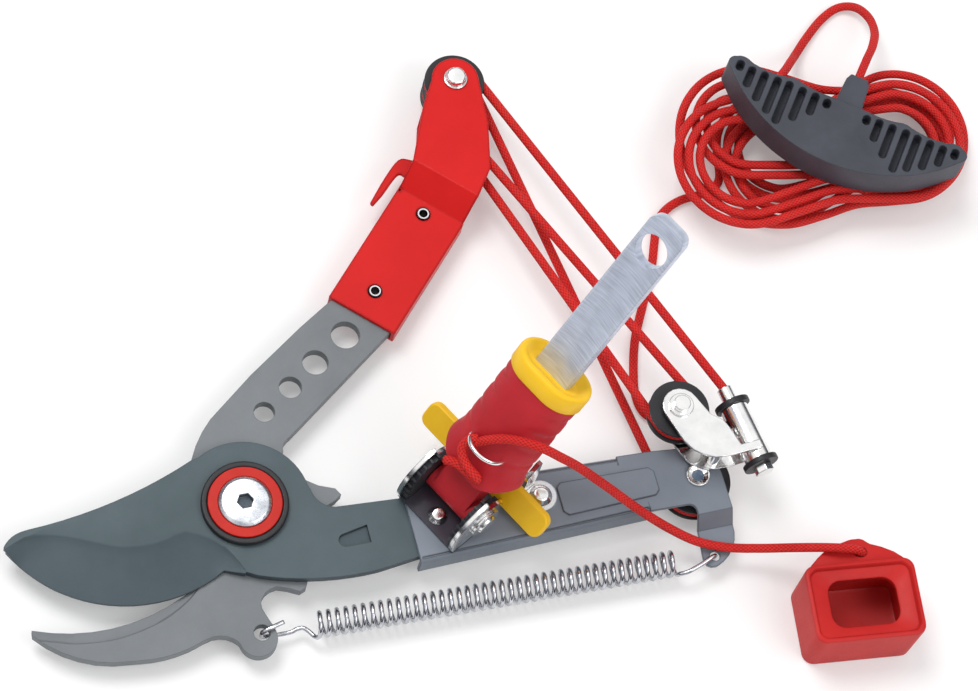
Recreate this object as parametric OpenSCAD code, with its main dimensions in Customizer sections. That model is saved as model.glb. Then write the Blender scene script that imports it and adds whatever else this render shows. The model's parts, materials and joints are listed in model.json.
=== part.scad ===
/* [Layers] */
// Height of the closed nut under the pivot, which is the foot of the head
nut_h = 7.2; // [6:0.1:9]
// Gap between flat faces that slide on each other
slide_gap = 0.3; // [0.2:0.05:0.5]
// Radial gap of a pin that turns in its hole
pin_fit = 0.05; // [0.02:0.01:0.08]
// Thickness of the hook lever
lever_t = 5; // [4:0.25:6]
// Thickness of the blade
blade_t = 4; // [3:0.25:5]
// Thickness of the pressed steel sheet of the frame
sheet_t = 1.6; // [1.2:0.1:2]

/* [Pivot] */
// Radius of the pivot bolt's shank
pivot_r = 6; // [4:0.25:8]
// Radius of the pivot bolt's flanged head
bolt_head_r = 11.3; // [9.5:0.1:12.5]
// Height of the pivot bolt's head above the blade
bolt_head_h = 4.8; // [3.5:0.1:6]
// Outer radius of the red ring round the head
red_ring_r = 15.7; // [13.5:0.1:17]
// Outer radius of the black ring round the red one
black_ring_r = 18.5; // [17.5:0.1:21]
// Width across the flats of the hex socket
hex_af = 6; // [4:0.5:8]
// Radius of the blade's and the lever's round hub
hub_r = 28.3; // [25:0.1:29]

/* [Frame] */
// Length of the channel, from its left end to the end plate
channel_len = 109; // [100:1:112]
// Depth of the channel's flanges, from the top of the web
flange_h = 11.6; // [8:0.2:13]
// Outer radius of the folds
fold_r = 3; // [2.2:0.1:4]
// Height that the panel on the web is pressed up
panel_h = 0.8; // [0.4:0.1:1.2]
// Radius of the spring hole in the tail
tail_hole_r = 2.2; // [1.6:0.1:2.6]

/* [Lever] */
// Radius of the hole for the spring in the lever's tail
eye_hole_r = 3.5; // [2.5:0.1:4]
// Width of the arm inside the sleeve
arm_w = 28.8; // [26:0.2:31]
// Length of the arm inside the sleeve
arm_in_sleeve = 58; // [54:1:60]
// Radius of the roll pins
roll_pin_r = 3; // [2:0.25:3.5]

/* [Sleeve] */
// Sheet of the red sleeve
sleeve_t = 2; // [1.4:0.1:2.4]
// Length of the sleeve's straight part
sleeve_len = 62; // [61:1:64]
// Room between the cheeks for the two top sheaves and the climbing rope
cheek_room = 17; // [17:0.1:17.5]
// Radius of the cheeks round the top axle
cheek_r = 10.5; // [9:0.1:11.5]

/* [Pulleys] */
// Diameter of the rope
rope_d = 4; // [3.8:0.1:4.3]
// Flange radius of the small sheaves
sheave_r = 13.4; // [12.5:0.1:14]
// Width of a sheave
sheave_w = 7.7; // [7.2:0.05:7.75]
// Radius of the rope's centre line on the small sheaves
rope_turn_r = 11; // [10:0.1:11.2]
// Radius of the top axle
top_axle_r = 3.5; // [2.5:0.1:4.5]
// Radius of the lower block's axle
block_axle_r = 3; // [2:0.1:4]
// Sheet of the lower block's plates
plate_t = 1.5; // [1:0.1:2]
// Room between the lower block's plates
block_room = 13; // [12.6:0.1:14]
// Radius of the rope's centre line on the sheave under the frame
frame_turn_r = 13.2; // [12.6:0.1:13.4]
// Radius of the anchor barrel's black flanges
barrel_flange_r = 7.8; // [7:0.1:8]

/* [Clevis] */
// Turn of the clevis from the frame's length, in degrees
clevis_turn = 28; // [24:1:30]
// Height of the hinge over the web
hinge_h = 9.9; // [9.7:0.1:11]
// Radius of the hinge pin
hinge_r = 3; // [2:0.1:3.5]
// Radius of the bracket's round ears
ear_r = 18.2; // [17.8:0.1:18.6]
// Thickness of an ear
ear_t = 2; // [1.5:0.1:2.4]
// Distance between the outer faces of the ears
ears_w = 34; // [33.6:0.1:35]
// Thickness of a toothed quadrant
quadrant_t = 2.4; // [2:0.1:2.5]
// Radius of the toothed quadrants
quadrant_r = 16.8; // [16:0.1:17.4]

/* [Adapter] */
// Rest angle of the adapter over the web, in degrees
adapter_tilt = 56; // [56:1:60]
// Width of the adapter's body
body_w = 35; // [32:0.5:36]
// Depth of the adapter's body
body_d = 24; // [22:0.5:25]
// Distance from the hinge to the body's upper end
body_top = 71; // [66:1:74]
// Height of the yellow collar
collar_h = 8.5; // [7:0.5:12]
// Width of the steel tongue
tongue_w = 18.4; // [16:0.2:20]
// Thickness of the steel tongue
tongue_t = 6; // [4:0.2:7]
// Distance from the hinge to the tongue's end
tongue_end = 166; // [150:1:175]
// Radius of the hole in the tongue
tongue_hole_r = 7; // [5:0.1:7.5]
// Length of the lock bar over both tabs
lock_len = 72; // [64:1:78]
// Travel of the lock bar into the notches
lock_travel = 2.5; // [2:0.1:2.5]

/* [Spring] */
// Outer diameter of the return spring
spring_d = 12; // [10:0.2:13]
// Diameter of the spring's wire
wire_d = 2; // [1.6:0.1:2.2]
// Number of turns of the spring
spring_turns = 42; // [36:1:44]

/* [Pull cord] */
// Turns in each of the hank's layers
hank_turns = 2; // [1:1:2]
// Half the length of the hank's straight runs
hank_half_run = 36; // [36:1:42]
// Half the width of the hank's inner loop
hank_inner = 17.5; // [17:0.5:18.5]
// Spacing of the hank's loops in a layer
hank_pitch = 5; // [4.9:0.1:5.2]
// Rise from one of the hank's layers to the next
hank_step = 6; // [5.9:0.1:6.2]
// How far the loops are drawn in at the waist
hank_waist = 5; // [0:0.5:5]
// Length of the handle
handle_len = 114; // [104:1:122]
// Depth of the handle, from face to face
handle_t = 17; // [14:0.5:19]

/* [Cord clip] */
// Length of the cord clip
clip_l = 48.5; // [44:0.5:50]
// Width of the cord clip
clip_w = 35; // [32:0.5:37]
// Height of the cord clip
clip_h = 29; // [27:0.5:31]
// Wall of the cord clip
clip_wall = 3; // [2:0.1:4]

/* [Hidden] */
$fn = 48;

// Heights of the stack on the pivot
lever_z = nut_h + slide_gap;
lever_top = lever_z + lever_t;
blade_z = lever_top + slide_gap;
web_z = blade_z + blade_t;
web_top = web_z + sheet_t;
lever_mid = lever_z + lever_t / 2;

// Points of an arc from a through b to c, in n steps
function arc_centre(a, b, c) =
    let (d = 2 * (a.x * (b.y - c.y) + b.x * (c.y - a.y) + c.x * (a.y - b.y)),
         aa = a * a, bb = b * b, cc = c * c)
    [(aa * (b.y - c.y) + bb * (c.y - a.y) + cc * (a.y - b.y)) / d,
     (aa * (c.x - b.x) + bb * (a.x - c.x) + cc * (b.x - a.x)) / d];
function turn_of(v) = atan2(v.y, v.x);
function wrapped(a) = a - 360 * floor(a / 360);
function arc3(a, b, c, n = 8) =
    let (m = arc_centre(a, b, c), r = norm(a - m), t0 = turn_of(a - m),
         left = wrapped(turn_of(c - m) - t0),
         sweep = wrapped(turn_of(b - m) - t0) < left ? left : left - 360)
    [for (i = [0 : n]) m + r * [cos(t0 + sweep * i / n), sin(t0 + sweep * i / n)]];

// A line that touches two circles: radii are positive on the left of the way from c1 to c2
function touch_turn(c1, r1, c2, r2) = turn_of(c2 - c1) + acos((r1 - r2) / norm(c2 - c1));
function polar(c, r, a) = c + r * [cos(a), sin(a)];

// A tube along points: rings stand square to the path
function unit(v) = v / norm(v);
function ring_frame(d) = let (s = unit(cross(abs(d.z) > 0.8 ? [1, 0, 0] : [0, 0, 1], d))) [s, cross(d, s)];
function step_dir(p, i) = unit(p[i + 1] - p[i]);
function path_dir(p, i) =
    i == 0 ? step_dir(p, 0) :
    i == len(p) - 1 ? step_dir(p, i - 1) : unit(step_dir(p, i) + step_dir(p, i - 1));
module tube(p, r, sides) {
    n = len(p);
    rings = [for (i = [0 : n - 1]) let (f = ring_frame(path_dir(p, i)))
        for (k = [0 : sides - 1]) p[i] + r * (cos(360 * k / sides) * f[0] + sin(360 * k / sides) * f[1])];
    walls = [for (i = [0 : n - 2], k = [0 : sides - 1])
        let (a = i * sides + k, b = i * sides + (k + 1) % sides)
        each [[a, b, b + sides], [a, b + sides, a + sides]]];
    first = [for (k = [1 : sides - 2]) [0, k + 1, k]];
    last = [for (k = [1 : sides - 2]) let (s = (n - 1) * sides) [s, s + k, s + k + 1]];
    polyhedron(rings, concat(walls, first, last));
}
// A smooth curve through hand-chosen points, in n steps a span
function spline_at(p, i, t) =
    let (m = len(p) - 1, a = p[max(i - 1, 0)], b = p[i], c = p[min(i + 1, m)], d = p[min(i + 2, m)])
    0.5 * (2 * b + (c - a) * t + (2 * a - 5 * b + 4 * c - d) * t * t + (3 * b - a - 3 * c + d) * t * t * t);
function spline(p, n) =
    concat([for (i = [0 : len(p) - 2], k = [0 : n - 1]) spline_at(p, i, k / n)], [p[len(p) - 1]]);
// A round bar between two points in space
module bar(a, b, r) {
    d = b - a;
    translate(a)
        rotate([0, acos(d.z / norm(d)), turn_of(d)])
            cylinder(r = r, h = norm(d));
}
// A flat plate from an outline
module plate(z, t, points) {
    translate([0, 0, z])
        linear_extrude(t)
            polygon(points);
}
module post(at, z, r, h) {
    translate([at.x, at.y, z])
        cylinder(r = r, h = h);
}
module ring(at, z, ro, ri, h) {
    translate([at.x, at.y, z])
        rotate_extrude()
            translate([ri, 0])
                square([ro - ri, h]);
}

// Places in plan
top_at = [137.5, 173];
block_at = [189, -2];
swivel_at = [191.5, -20.5];
eyelet_at = [192.3, -28.3];
tail_at = [191.5, -62.5];
eye_at = [-5.5, -54.9];
hinge_at = [86, -17.5];
stop_out = 5.66;
stop_at = hinge_at + 29.63 * [cos(clevis_turn), sin(clevis_turn)]
    + (ears_w / 2 + stop_out) * [sin(clevis_turn), -cos(clevis_turn)];
sleeve_at = [70.4, 74.9];
sleeve_turn = 46;
function along_sleeve(s, t) = sleeve_at
    + s * [cos(sleeve_turn), sin(sleeve_turn)] + t * [-sin(sleeve_turn), cos(sleeve_turn)];

// Frame edges: the upper one tapers in, the lower one is nearly straight
frame_x0 = 66;
frame_x1 = frame_x0 + channel_len;
upper_slope = -0.049;
lower_slope = 0.015;
function upper_y(x) = -7.9 + upper_slope * (x - frame_x0);
function lower_y(x) = -41 + lower_slope * (x - frame_x0);
upper_end = 160;
lower_end = 168;
rivet_r = 3;
rivets = [[77.5, -23.1], [92.3, -20.9]];
eyelet_r = 3.6;
swivel_r = 2.5;
tail_z = lever_mid - sheet_t / 2;

// Colours of the real materials
c_blade = [0.36, 0.42, 0.44];
c_frame = [0.42, 0.44, 0.47];
c_steel = [0.62, 0.64, 0.66];
c_chrome = [0.82, 0.83, 0.85];
c_red = [0.8, 0.12, 0.12];
c_yellow = [0.92, 0.74, 0.17];
c_black = [0.08, 0.08, 0.09];
c_grey = [0.24, 0.26, 0.3];

// One folded edge of the channel: side is 1 where the web lies to the left of the edge
function fold_outline(side) = concat(
    [[side * (fold_r + 3), 0]],
    [for (i = [0 : 6]) [side * (fold_r + fold_r * cos(90 + 15 * i)), fold_r * sin(90 + 15 * i) - fold_r]],
    [[0, -flange_h], [side * sheet_t, -flange_h]],
    [for (i = [6 : -1 : 0]) let (r = fold_r - sheet_t)
        [side * (fold_r + r * cos(90 + 15 * i)), r * sin(90 + 15 * i) - fold_r]],
    [[side * (fold_r + 3), -sheet_t]]);
module fold(y, slope, side, x1) {
    translate([frame_x0, y, web_top])
        rotate([0, 0, atan(slope)])
            rotate([90, 0, 90])
                linear_extrude((x1 - frame_x0) / cos(atan(slope)))
                    polygon(fold_outline(side));
}
web_outline = concat(
    [[frame_x0, upper_y(frame_x0) - fold_r - 1], [upper_end, upper_y(upper_end) - fold_r - 1],
     [upper_end, upper_y(upper_end)], [frame_x1, upper_y(frame_x1)]],
    arc3([186, -14.4], [197.6, -18.6], [203, -29]),
    [[203, -45], [187.6, -45]],
    arc3([187.6, -43.5], [186.8, -41], [184.5, -40], 4),
    [[lower_end, lower_y(lower_end)], [lower_end, lower_y(lower_end) + fold_r + 1],
     [frame_x0, lower_y(frame_x0) + fold_r + 1]]);
tail_outline = concat(
    [[187.6, -44], [203, -44]],
    arc3([203.2, -50], [200.8, -59.6], [191.4, -67], 6),
    arc3([190.6, -67.1], [187, -65.8], [186.2, -62], 4),
    [[187.4, -50]]);
module frame_channel() {
    color(c_frame) difference() {
        union() {
            plate(web_z, sheet_t, web_outline);
            fold(upper_y(frame_x0), upper_slope, -1, upper_end);
            fold(lower_y(frame_x0), lower_slope, 1, lower_end);
            plate(web_top, panel_h, [[131, -21], [133, -19.2], [172, -20.4], [174, -22.4],
                [174, -31], [172, -33], [133, -34], [131, -32]]);
            intersection() {
                translate([180, 0, 0])
                    rotate([90, 0, 90])
                        linear_extrude(30)
                            polygon([[-43, web_top], [-45.4, web_top], [-50.4, tail_z + sheet_t],
                                [-70, tail_z + sheet_t], [-70, tail_z], [-49.6, tail_z],
                                [-44.6, web_z], [-43, web_z]]);
                plate(0, 30, tail_outline);
            }
        }
        for (at = rivets)
            post(at, web_z - 1, rivet_r, 9);
        post(stop_at, web_z - 1, rivet_r, 9);
        post(eyelet_at, web_z - 1, eyelet_r, 9);
        post(swivel_at, web_z - 1, swivel_r + pin_fit, 9);
        post(tail_at, tail_z - 1, tail_hole_r, 9);
    }
}

// Blade: the tang lies between the channel's folds
tang_gap = 0.1;
tang_x1 = 130;
function tang_top(x) = upper_y(x) - fold_r - tang_gap;
function tang_low(x) = lower_y(x) + fold_r + tang_gap;
blade_outline = concat(
    arc3([-101.5, 2.5], [-97, 6.4], [-92, 7.8], 4),
    arc3([-90, 8], [-54.4, 12.3], [-17.1, 24]),
    [for (a = [119 : -9.5 : 5]) polar([0, 0], hub_r, a)],
    arc3([28.8, 1], [31, -5], [37, -8.9], 4),
    [[frame_x0, tang_top(frame_x0)], [tang_x1, tang_top(tang_x1)],
     [tang_x1, tang_low(tang_x1)], [frame_x0, tang_low(frame_x0)]],
    arc3([48, -39.9], [20, -37.8], [-6.9, -29.6]),
    arc3([-15, -26], [-48, -33.3], [-82.9, -20.6], 10),
    arc3([-85, -19], [-95, -8.5], [-101, 0.8], 5));
module blade() {
    color(c_blade) difference() {
        plate(blade_z, blade_t, blade_outline);
        post([0, 0], blade_z - 1, pivot_r + pin_fit, blade_t + 2);
        post([37.8, -23.5], web_z - 1.5, 3.9, 3);
        plate(web_z - 1.5, 3, [[37.8, -19.6], [48, -19.6], [48, -27.4], [37.8, -27.4]]);
        for (at = rivets)
            post(at, blade_z - 1, rivet_r, blade_t + 2);
        post(stop_at, blade_z - 1, rivet_r, blade_t + 2);
    }
}

// Pivot
nut_low = nut_h * 0.35;
module pivot_bolt() {
    color(c_steel) difference() {
        union() {
            post([0, 0], nut_low + 1, pivot_r, web_z - nut_low);
            post([0, 0], web_z, bolt_head_r, bolt_head_h - 1.2);
            translate([0, 0, web_z + bolt_head_h - 1.2])
                cylinder(r1 = bolt_head_r, r2 = bolt_head_r - 1.6, h = 1.2);
        }
        translate([0, 0, web_z + bolt_head_h - 3])
            cylinder(r = hex_af / sqrt(3), h = 4, $fn = 6);
    }
}
module pivot_nut() {
    color(c_steel) difference() {
        union() {
            post([0, 0], 0, pivot_r + 2.6, nut_low);
            translate([0, 0, nut_low])
                cylinder(r = pivot_r + 5, h = nut_h - nut_low, $fn = 6);
        }
        post([0, 0], nut_low + 0.8, pivot_r + pin_fit, nut_h);
    }
}
module pivot_red_ring() {
    color(c_red) ring([0, 0], web_z, red_ring_r, bolt_head_r + pin_fit, bolt_head_h - 1.2);
}
module pivot_black_ring() {
    color(c_black) ring([0, 0], web_z, black_ring_r, red_ring_r + pin_fit, bolt_head_h - 1.6);
}

// Rivets and the eyelet through the frame
collar_z = 5;
module frame_eyelet() {
    color(c_chrome) difference() {
        union() {
            post(eyelet_at, 0, eyelet_r + 2.6, collar_z);
            post(eyelet_at, collar_z, eyelet_r, web_top - collar_z);
            post(eyelet_at, web_top, eyelet_r + 1.5, 1.4);
        }
        translate([eyelet_at.x, eyelet_at.y, web_top])
            cylinder(r1 = 1.4, r2 = eyelet_r + 0.9, h = 1.5);
    }
}
module rivet(at, z0, z1, head_r, head_h) {
    post(at, z0, rivet_r, z1 - z0);
    post(at, z0 - 1.2, rivet_r + 1.6, 1.2);
    translate([at.x, at.y, z1])
        cylinder(r1 = head_r, r2 = head_r * 0.55, h = head_h);
}

// Clevis: a folded bracket, turned on the frame, with the hinge over it
hinge_z = web_top + hinge_h;
base_t = 2;
module in_clevis() {
    translate([hinge_at.x, hinge_at.y, hinge_z])
        rotate([0, 0, clevis_turn])
            children();
}
module in_adapter(more = 0) {
    in_clevis()
        rotate([0, -adapter_tilt - more, 0])
            children();
}
ear_in = ears_w / 2 - ear_t;
quadrant_in = ear_in - pin_fit - quadrant_t;
barrel_half = quadrant_in - slide_gap;
low_r = 11;
foot_x = sqrt(ear_r * ear_r - hinge_h * hinge_h) + 0.9;
module ear_plate(y, t, r, floor_z) {
    translate([0, y + t, 0])
        rotate([90, 0, 0])
            linear_extrude(t)
                difference() {
                    polygon(concat(
                        [for (a = [180 + asin(-floor_z / r) : -6 : 90]) polar([0, 0], r, a)],
                        [[0, r], [0.5, low_r]],
                        [for (a = [80 : -10 : -20]) polar([0, 0], low_r, a)],
                        [[8, floor_z], [-sqrt(r * r - floor_z * floor_z), floor_z]]));
                    circle(hinge_r + pin_fit);
                }
}
module clevis_bracket() {
    color(c_chrome) in_clevis() {
        difference() {
            translate([-foot_x, -ears_w / 2, -hinge_h])
                cube([foot_x + 8, ears_w, base_t]);
            for (at = rivets)
                translate(clevis_place(at))
                    cylinder(r = rivet_r, h = 20, center = true);
        }
        ear_plate(ear_in, ear_t, ear_r, -hinge_h);
        ear_plate(-ear_in - ear_t, ear_t, ear_r, -hinge_h);
    }
}
function clevis_place(at) = let (d = at - hinge_at, c = cos(clevis_turn), s = sin(clevis_turn))
    [d.x * c + d.y * s, d.y * c - d.x * s, -hinge_h];
lock_steps = [0, 30, 60];
module toothed_quadrants() {
    color(c_grey) difference() {
        in_clevis() {
            ear_plate(quadrant_in, quadrant_t, quadrant_r, base_t - hinge_h);
            ear_plate(-quadrant_in - quadrant_t, quadrant_t, quadrant_r, base_t - hinge_h);
        }
        in_clevis()
            for (a = [98 : 13 : 190])
                rotate([0, -a, 0])
                    translate([quadrant_r - 2.2, -30, -1.3])
                        cube([6, 60, 2.6]);
        for (more = lock_steps)
            in_adapter(more)
                translate([2.5, -30, -12.6])
                    cube([3, 60, 4.2]);
    }
}
module clevis_rivets() {
    color(c_steel) {
        rivet(rivets[0], blade_z, web_top + base_t, 4.5, 2.8);
        rivet(rivets[1], blade_z, web_top + base_t, 4, 0.7);
    }
}
stop_t = 2;
module tilt_stop() {
    color(c_chrome) difference() {
        union() {
            post(stop_at, web_top, 7, stop_t);
            in_clevis()
                translate([24, -ear_in - stop_t, -hinge_h])
                    cube([5, stop_t, stop_t]);
            in_clevis()
                translate([0, -ear_in, 0])
                    rotate([90, 0, 0])
                        linear_extrude(stop_t)
                            polygon([[24, -hinge_h], [24, 8.5], [29, 16], [31, 16],
                                [31, 1 - hinge_h], [29, -hinge_h]]);
        }
        post(stop_at, web_z, rivet_r, 9);
    }
}
module stop_rivet() {
    color(c_steel) rivet(stop_at, blade_z, web_top + stop_t, 5.2, 2.4);
}
washer_t = 1.2;
module hinge_pin() {
    color(c_steel) in_clevis() rotate([90, 0, 0]) {
        cylinder(r = hinge_r, h = ears_w + 2 * washer_t, center = true);
        for (s = [0, 1])
            mirror([0, 0, s])
                translate([0, 0, ears_w / 2 + washer_t])
                    cylinder(r1 = hinge_r + 2, r2 = hinge_r + 1.2, h = 1.4);
    }
}
module hinge_washers() {
    color(c_chrome) in_clevis() rotate([90, 0, 0])
        for (z = [-ears_w / 2 - washer_t, ears_w / 2])
            ring([0, 0], z, 7.4, hinge_r + pin_fit, washer_t);
}

// Lever: hook, hub with ear and finger, tail eye and the arm with its four holes
lever_hub_r = hub_r - 1.3;
hook_outline = concat(
    arc3([-97.5, -33.4], [-64, -39.6], [-34, -32.5]),
    [[-17.5, -25.4], [0, -8], [12, -14], [12, -30], [19, -36], [17.1, -39.7], [14.3, -40.8],
     [9.6, -38.3], [5.3, -36.7]],
    arc3([2.2, -37.2], [-1.2, -39.4], [-2.9, -42.4], 3),
    arc3([-3, -44.6], [-1.6, -49.2], [0.3, -54.4], 3),
    [[-7.5, -57], [-14.6, -59.6]],
    arc3([-16, -56.8], [-19.2, -53.9], [-23, -52.6], 3),
    arc3([-26, -52.4], [-30, -53.3], [-34, -54.6], 2),
    arc3([-37, -55.4], [-47, -56.6], [-57, -56], 4),
    arc3([-61, -55.5], [-81, -49.9], [-97.8, -35.9], 6));
arm_outline = concat(
    [[-14, 8]],
    arc3([-16.5, 25.5], [-11.4, 34.1], [-4.3, 42], 3),
    [[17.1, 58.1], [43.4, 75.5], along_sleeve(2, arm_w / 2), along_sleeve(arm_in_sleeve, arm_w / 2),
     along_sleeve(arm_in_sleeve, -arm_w / 2), along_sleeve(2, -arm_w / 2), [27, 27.4]],
    arc3([25.6, 26.6], [23.2, 24.2], [22.3, 21], 3),
    [[12, 8]]);
ear_outline = [[18, 14], [27, 8], [33.2, 3.4], [39.9, 0.6], [41.7, -2.6], [38.6, -4.7], [30, -8], [18, -12]];
arm_holes = [[18.9, 40.6, 4.5], [32.5, 49.3, 4.9], [45.8, 58.3, 5.6], [61.6, 68.1, 6.25]];
pins_at = [along_sleeve(13, 0.7), along_sleeve(56.6, 1)];
module hook_lever() {
    color(c_steel) difference() {
        union() {
            post([0, 0], lever_z, lever_hub_r, lever_t);
            plate(lever_z, lever_t, hook_outline);
            plate(lever_z, lever_t, arm_outline);
            plate(lever_z, lever_t, ear_outline);
            post([-7.5, -57], lever_z, 8, lever_t);
        }
        post([0, 0], lever_z - 1, pivot_r + pin_fit, lever_t + 2);
        post(eye_at, lever_z - 1, eye_hole_r, lever_t + 2);
        for (h = arm_holes)
            post(h, lever_z - 1, h[2], lever_t + 2);
        post(pins_at[0], lever_z - 1, roll_pin_r, lever_t + 2);
        post(pins_at[1], lever_z - 1, roll_pin_r, lever_t + 2);
    }
}

// Sleeve: folded over the arm, then joggled up into the front cheek
sleeve_half = arm_w / 2 + pin_fit + sleeve_t;
sleeve_low = lever_z - sleeve_t;
cheek_z = sleeve_low + cheek_room;
ramp_s = 72.5;
module in_sleeve() {
    translate([sleeve_at.x, sleeve_at.y, 0])
        rotate([0, 0, sleeve_turn])
            children();
}
cheek_outline = concat(
    [along_sleeve(ramp_s + 0.5, 0.4 - sleeve_half), along_sleeve(ramp_s + 0.5, sleeve_half - 0.4),
     along_sleeve(ramp_s + 5, sleeve_half), [119.5, 162]],
    [for (a = [160 : -20 : 0]) polar(top_at, cheek_r, a)],
    [[146.5, 150], [141, 127], along_sleeve(ramp_s + 5, -sleeve_half)]);
tab_outline = [[78, 14], [76, 20], [73.7, 23.4], [62.9, 24], [48.3, 23.3], [48, 21.5], [55.5, 20.6],
    [67, 20.2], [68.5, 18], [66, 16.4], [66, 14]];
module lever_sleeve() {
    color(c_red) difference() {
        union() {
            in_sleeve() {
                translate([0, -sleeve_half, lever_top])
                    cube([sleeve_len, 2 * sleeve_half, sleeve_t]);
                translate([0, -sleeve_half, sleeve_low])
                    cube([sleeve_len, 2 * sleeve_half, sleeve_t]);
                translate([0, -sleeve_half, sleeve_low])
                    cube([sleeve_len, sleeve_t, lever_t + 2 * sleeve_t]);
                translate([0, sleeve_half - sleeve_t, sleeve_low])
                    cube([78, sleeve_t, lever_t + 2 * sleeve_t]);
                translate([0, sleeve_half, 0])
                    rotate([90, 0, 0])
                        linear_extrude(2 * sleeve_half)
                            polygon([[sleeve_len - 1.5, lever_top], [sleeve_len - 1.5, lever_top + sleeve_t],
                                [ramp_s, cheek_z + sleeve_t], [ramp_s + 1.5, cheek_z + sleeve_t],
                                [ramp_s + 1.5, cheek_z], [sleeve_len, lever_top]]);
                plate(lever_top, sleeve_t, tab_outline);
            }
            plate(cheek_z, sleeve_t, cheek_outline);
        }
        for (at = pins_at)
            post(at, 0, roll_pin_r, 30);
        post(top_at, cheek_z - 1, top_axle_r + pin_fit, sleeve_t + 2);
    }
}
rear_outline = concat(
    [along_sleeve(44, -10), along_sleeve(44, 12), along_sleeve(ramp_s, 13), [119.5, 162]],
    [for (a = [160 : -20 : 0]) polar(top_at, cheek_r, a)],
    [[146.5, 150], [139, 127]]);
module rear_cheek() {
    color(c_red) difference() {
        plate(sleeve_low - sleeve_t, sleeve_t, rear_outline);
        post(pins_at[1], 0, roll_pin_r, 30);
        post(top_at, 0, top_axle_r + pin_fit, 30);
    }
}
module roll_pins() {
    color(c_black) {
        ring(pins_at[0], sleeve_low, roll_pin_r, roll_pin_r * 0.6, lever_t + 2 * sleeve_t + 0.5);
        ring(pins_at[1], sleeve_low - sleeve_t, roll_pin_r, roll_pin_r * 0.6, lever_t + 3 * sleeve_t + 0.5);
    }
}
module top_axle() {
    color(c_chrome) {
        post(top_at, 0.8, top_axle_r, cheek_z + sleeve_t - 0.8);
        post(top_at, cheek_z + sleeve_t, top_axle_r + 1.8, 1);
        post(top_at, cheek_z + sleeve_t + 1, top_axle_r + 0.9, 2.2);
        translate([top_at.x, top_at.y, cheek_z + sleeve_t + 3.2])
            cylinder(r1 = top_axle_r + 0.9, r2 = top_axle_r, h = 0.8);
    }
}
module axle_clip() {
    color(c_steel) ring(top_at, 0, top_axle_r + 2.5, top_axle_r + pin_fit, sleeve_low - sleeve_t);
}

// Sheaves: a round groove that clears the rope, between thin flanges
rope_r = rope_d / 2;
groove_r = rope_r + 0.3;
flare = 0.6;
module sheave(at, mid, r, turn_r, w, bore) {
    translate([at.x, at.y, mid])
        rotate_extrude()
            polygon(concat(
                [[bore, -w / 2], [r, -w / 2], [r, -groove_r - flare]],
                [for (a = [270 : -22.5 : 90]) [turn_r + groove_r * cos(a), groove_r * sin(a)]],
                [[r, groove_r + flare], [r, w / 2], [bore, w / 2]]));
}
climb_room = 0.5;
sheave_gap = (cheek_room - climb_room - 2 * sheave_w) / 3;
rear_mid = sleeve_low + sheave_gap + sheave_w / 2;
front_mid = rear_mid + sheave_w + sheave_gap;
module top_sheave_front() {
    color(c_grey) sheave(top_at, front_mid, sheave_r, rope_turn_r, sheave_w, top_axle_r + pin_fit);
}
module top_sheave_rear() {
    color(c_grey) sheave(top_at, rear_mid, sheave_r, rope_turn_r, sheave_w, top_axle_r + pin_fit);
}
frame_sheave_r = 15.4;
frame_mid = collar_z + 0.4 + sheave_w / 2;
module frame_sheave() {
    color(c_grey) sheave(eyelet_at, frame_mid, frame_sheave_r, frame_turn_r, sheave_w, eyelet_r + pin_fit);
}

// Lower block
block_z = web_top + 1.8;
block_in = block_z + plate_t;
block_top = block_in + block_room;
block_mid = block_in + block_room / 2;
barrel_r = block_room / 2 - 0.4;
barrel_a = [213.5, -5];
barrel_b = [217.5, -30.5];
barrel_dir = (barrel_b - barrel_a) / norm(barrel_b - barrel_a);
spacers_at = [[199.5, -24], [203.5, -16.5]];
front_outline = concat(
    [for (a = [20 : 20 : 200]) polar(block_at, 8, a)],
    [[182.6, -8.4]],
    arc3([186, -18.2], [191.4, -24.9], [201.6, -28.2], 4),
    [[209, -28], [218.6, -27.2], [218, -23.6], [209.4, -24.2], [207, -16.3], [205.2, -12], [200.7, -8.4]]);
rear_outline_b = concat(
    [for (a = [20 : 20 : 200]) polar(block_at, 7, a)],
    [[184.6, -12.4]],
    arc3([187, -18.2], [191, -24], [199.5, -28], 4),
    [[207, -28.2], [219, -27], [216.6, -10], [209, -9], [200.7, -8.4]]);
module block_front_plate() {
    color(c_frame) difference() {
        plate(block_top, plate_t, front_outline);
        post(block_at, block_top - 1, block_axle_r, plate_t + 2);
    }
}
module block_rear_plate() {
    color(c_frame) difference() {
        plate(block_z, plate_t, rear_outline_b);
        post(block_at, block_z - 1, block_axle_r, plate_t + 2);
        post(swivel_at, block_z - 1, swivel_r, plate_t + 2);
    }
}
module block_spacers() {
    color(c_chrome)
        for (at = spacers_at)
            post(at, block_in, 2.8, block_room);
}
module block_axle() {
    color(c_chrome) {
        post(block_at, block_z - 1.2, block_axle_r + 1.6, 1.2);
        post(block_at, block_z, block_axle_r, block_top + plate_t - block_z + 1);
        post(block_at, block_top + plate_t + 1, block_axle_r + 0.6, 2.4);
    }
}
module axle_washer() {
    color(c_steel) ring(block_at, block_top + plate_t, block_axle_r + 2.4, block_axle_r + pin_fit, 1);
}
module swivel_pin() {
    color(c_steel) {
        post(swivel_at, web_z - 1.6, swivel_r + 1, 1.3);
        post(swivel_at, web_z - 0.3, swivel_r, block_in - web_z + 0.3);
        post(swivel_at, block_in, swivel_r + 1.2, 1.2);
    }
}
lower_turn_r = 10.6;
module lower_sheave() {
    color(c_grey) {
        sheave(block_at, block_mid, 13, lower_turn_r, 8.4, block_axle_r + pin_fit);
        ring(block_at, block_in + slide_gap + 0.05, block_axle_r + 2.6, block_axle_r + pin_fit,
            block_room - 2 * slide_gap - 0.1);
    }
}
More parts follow.
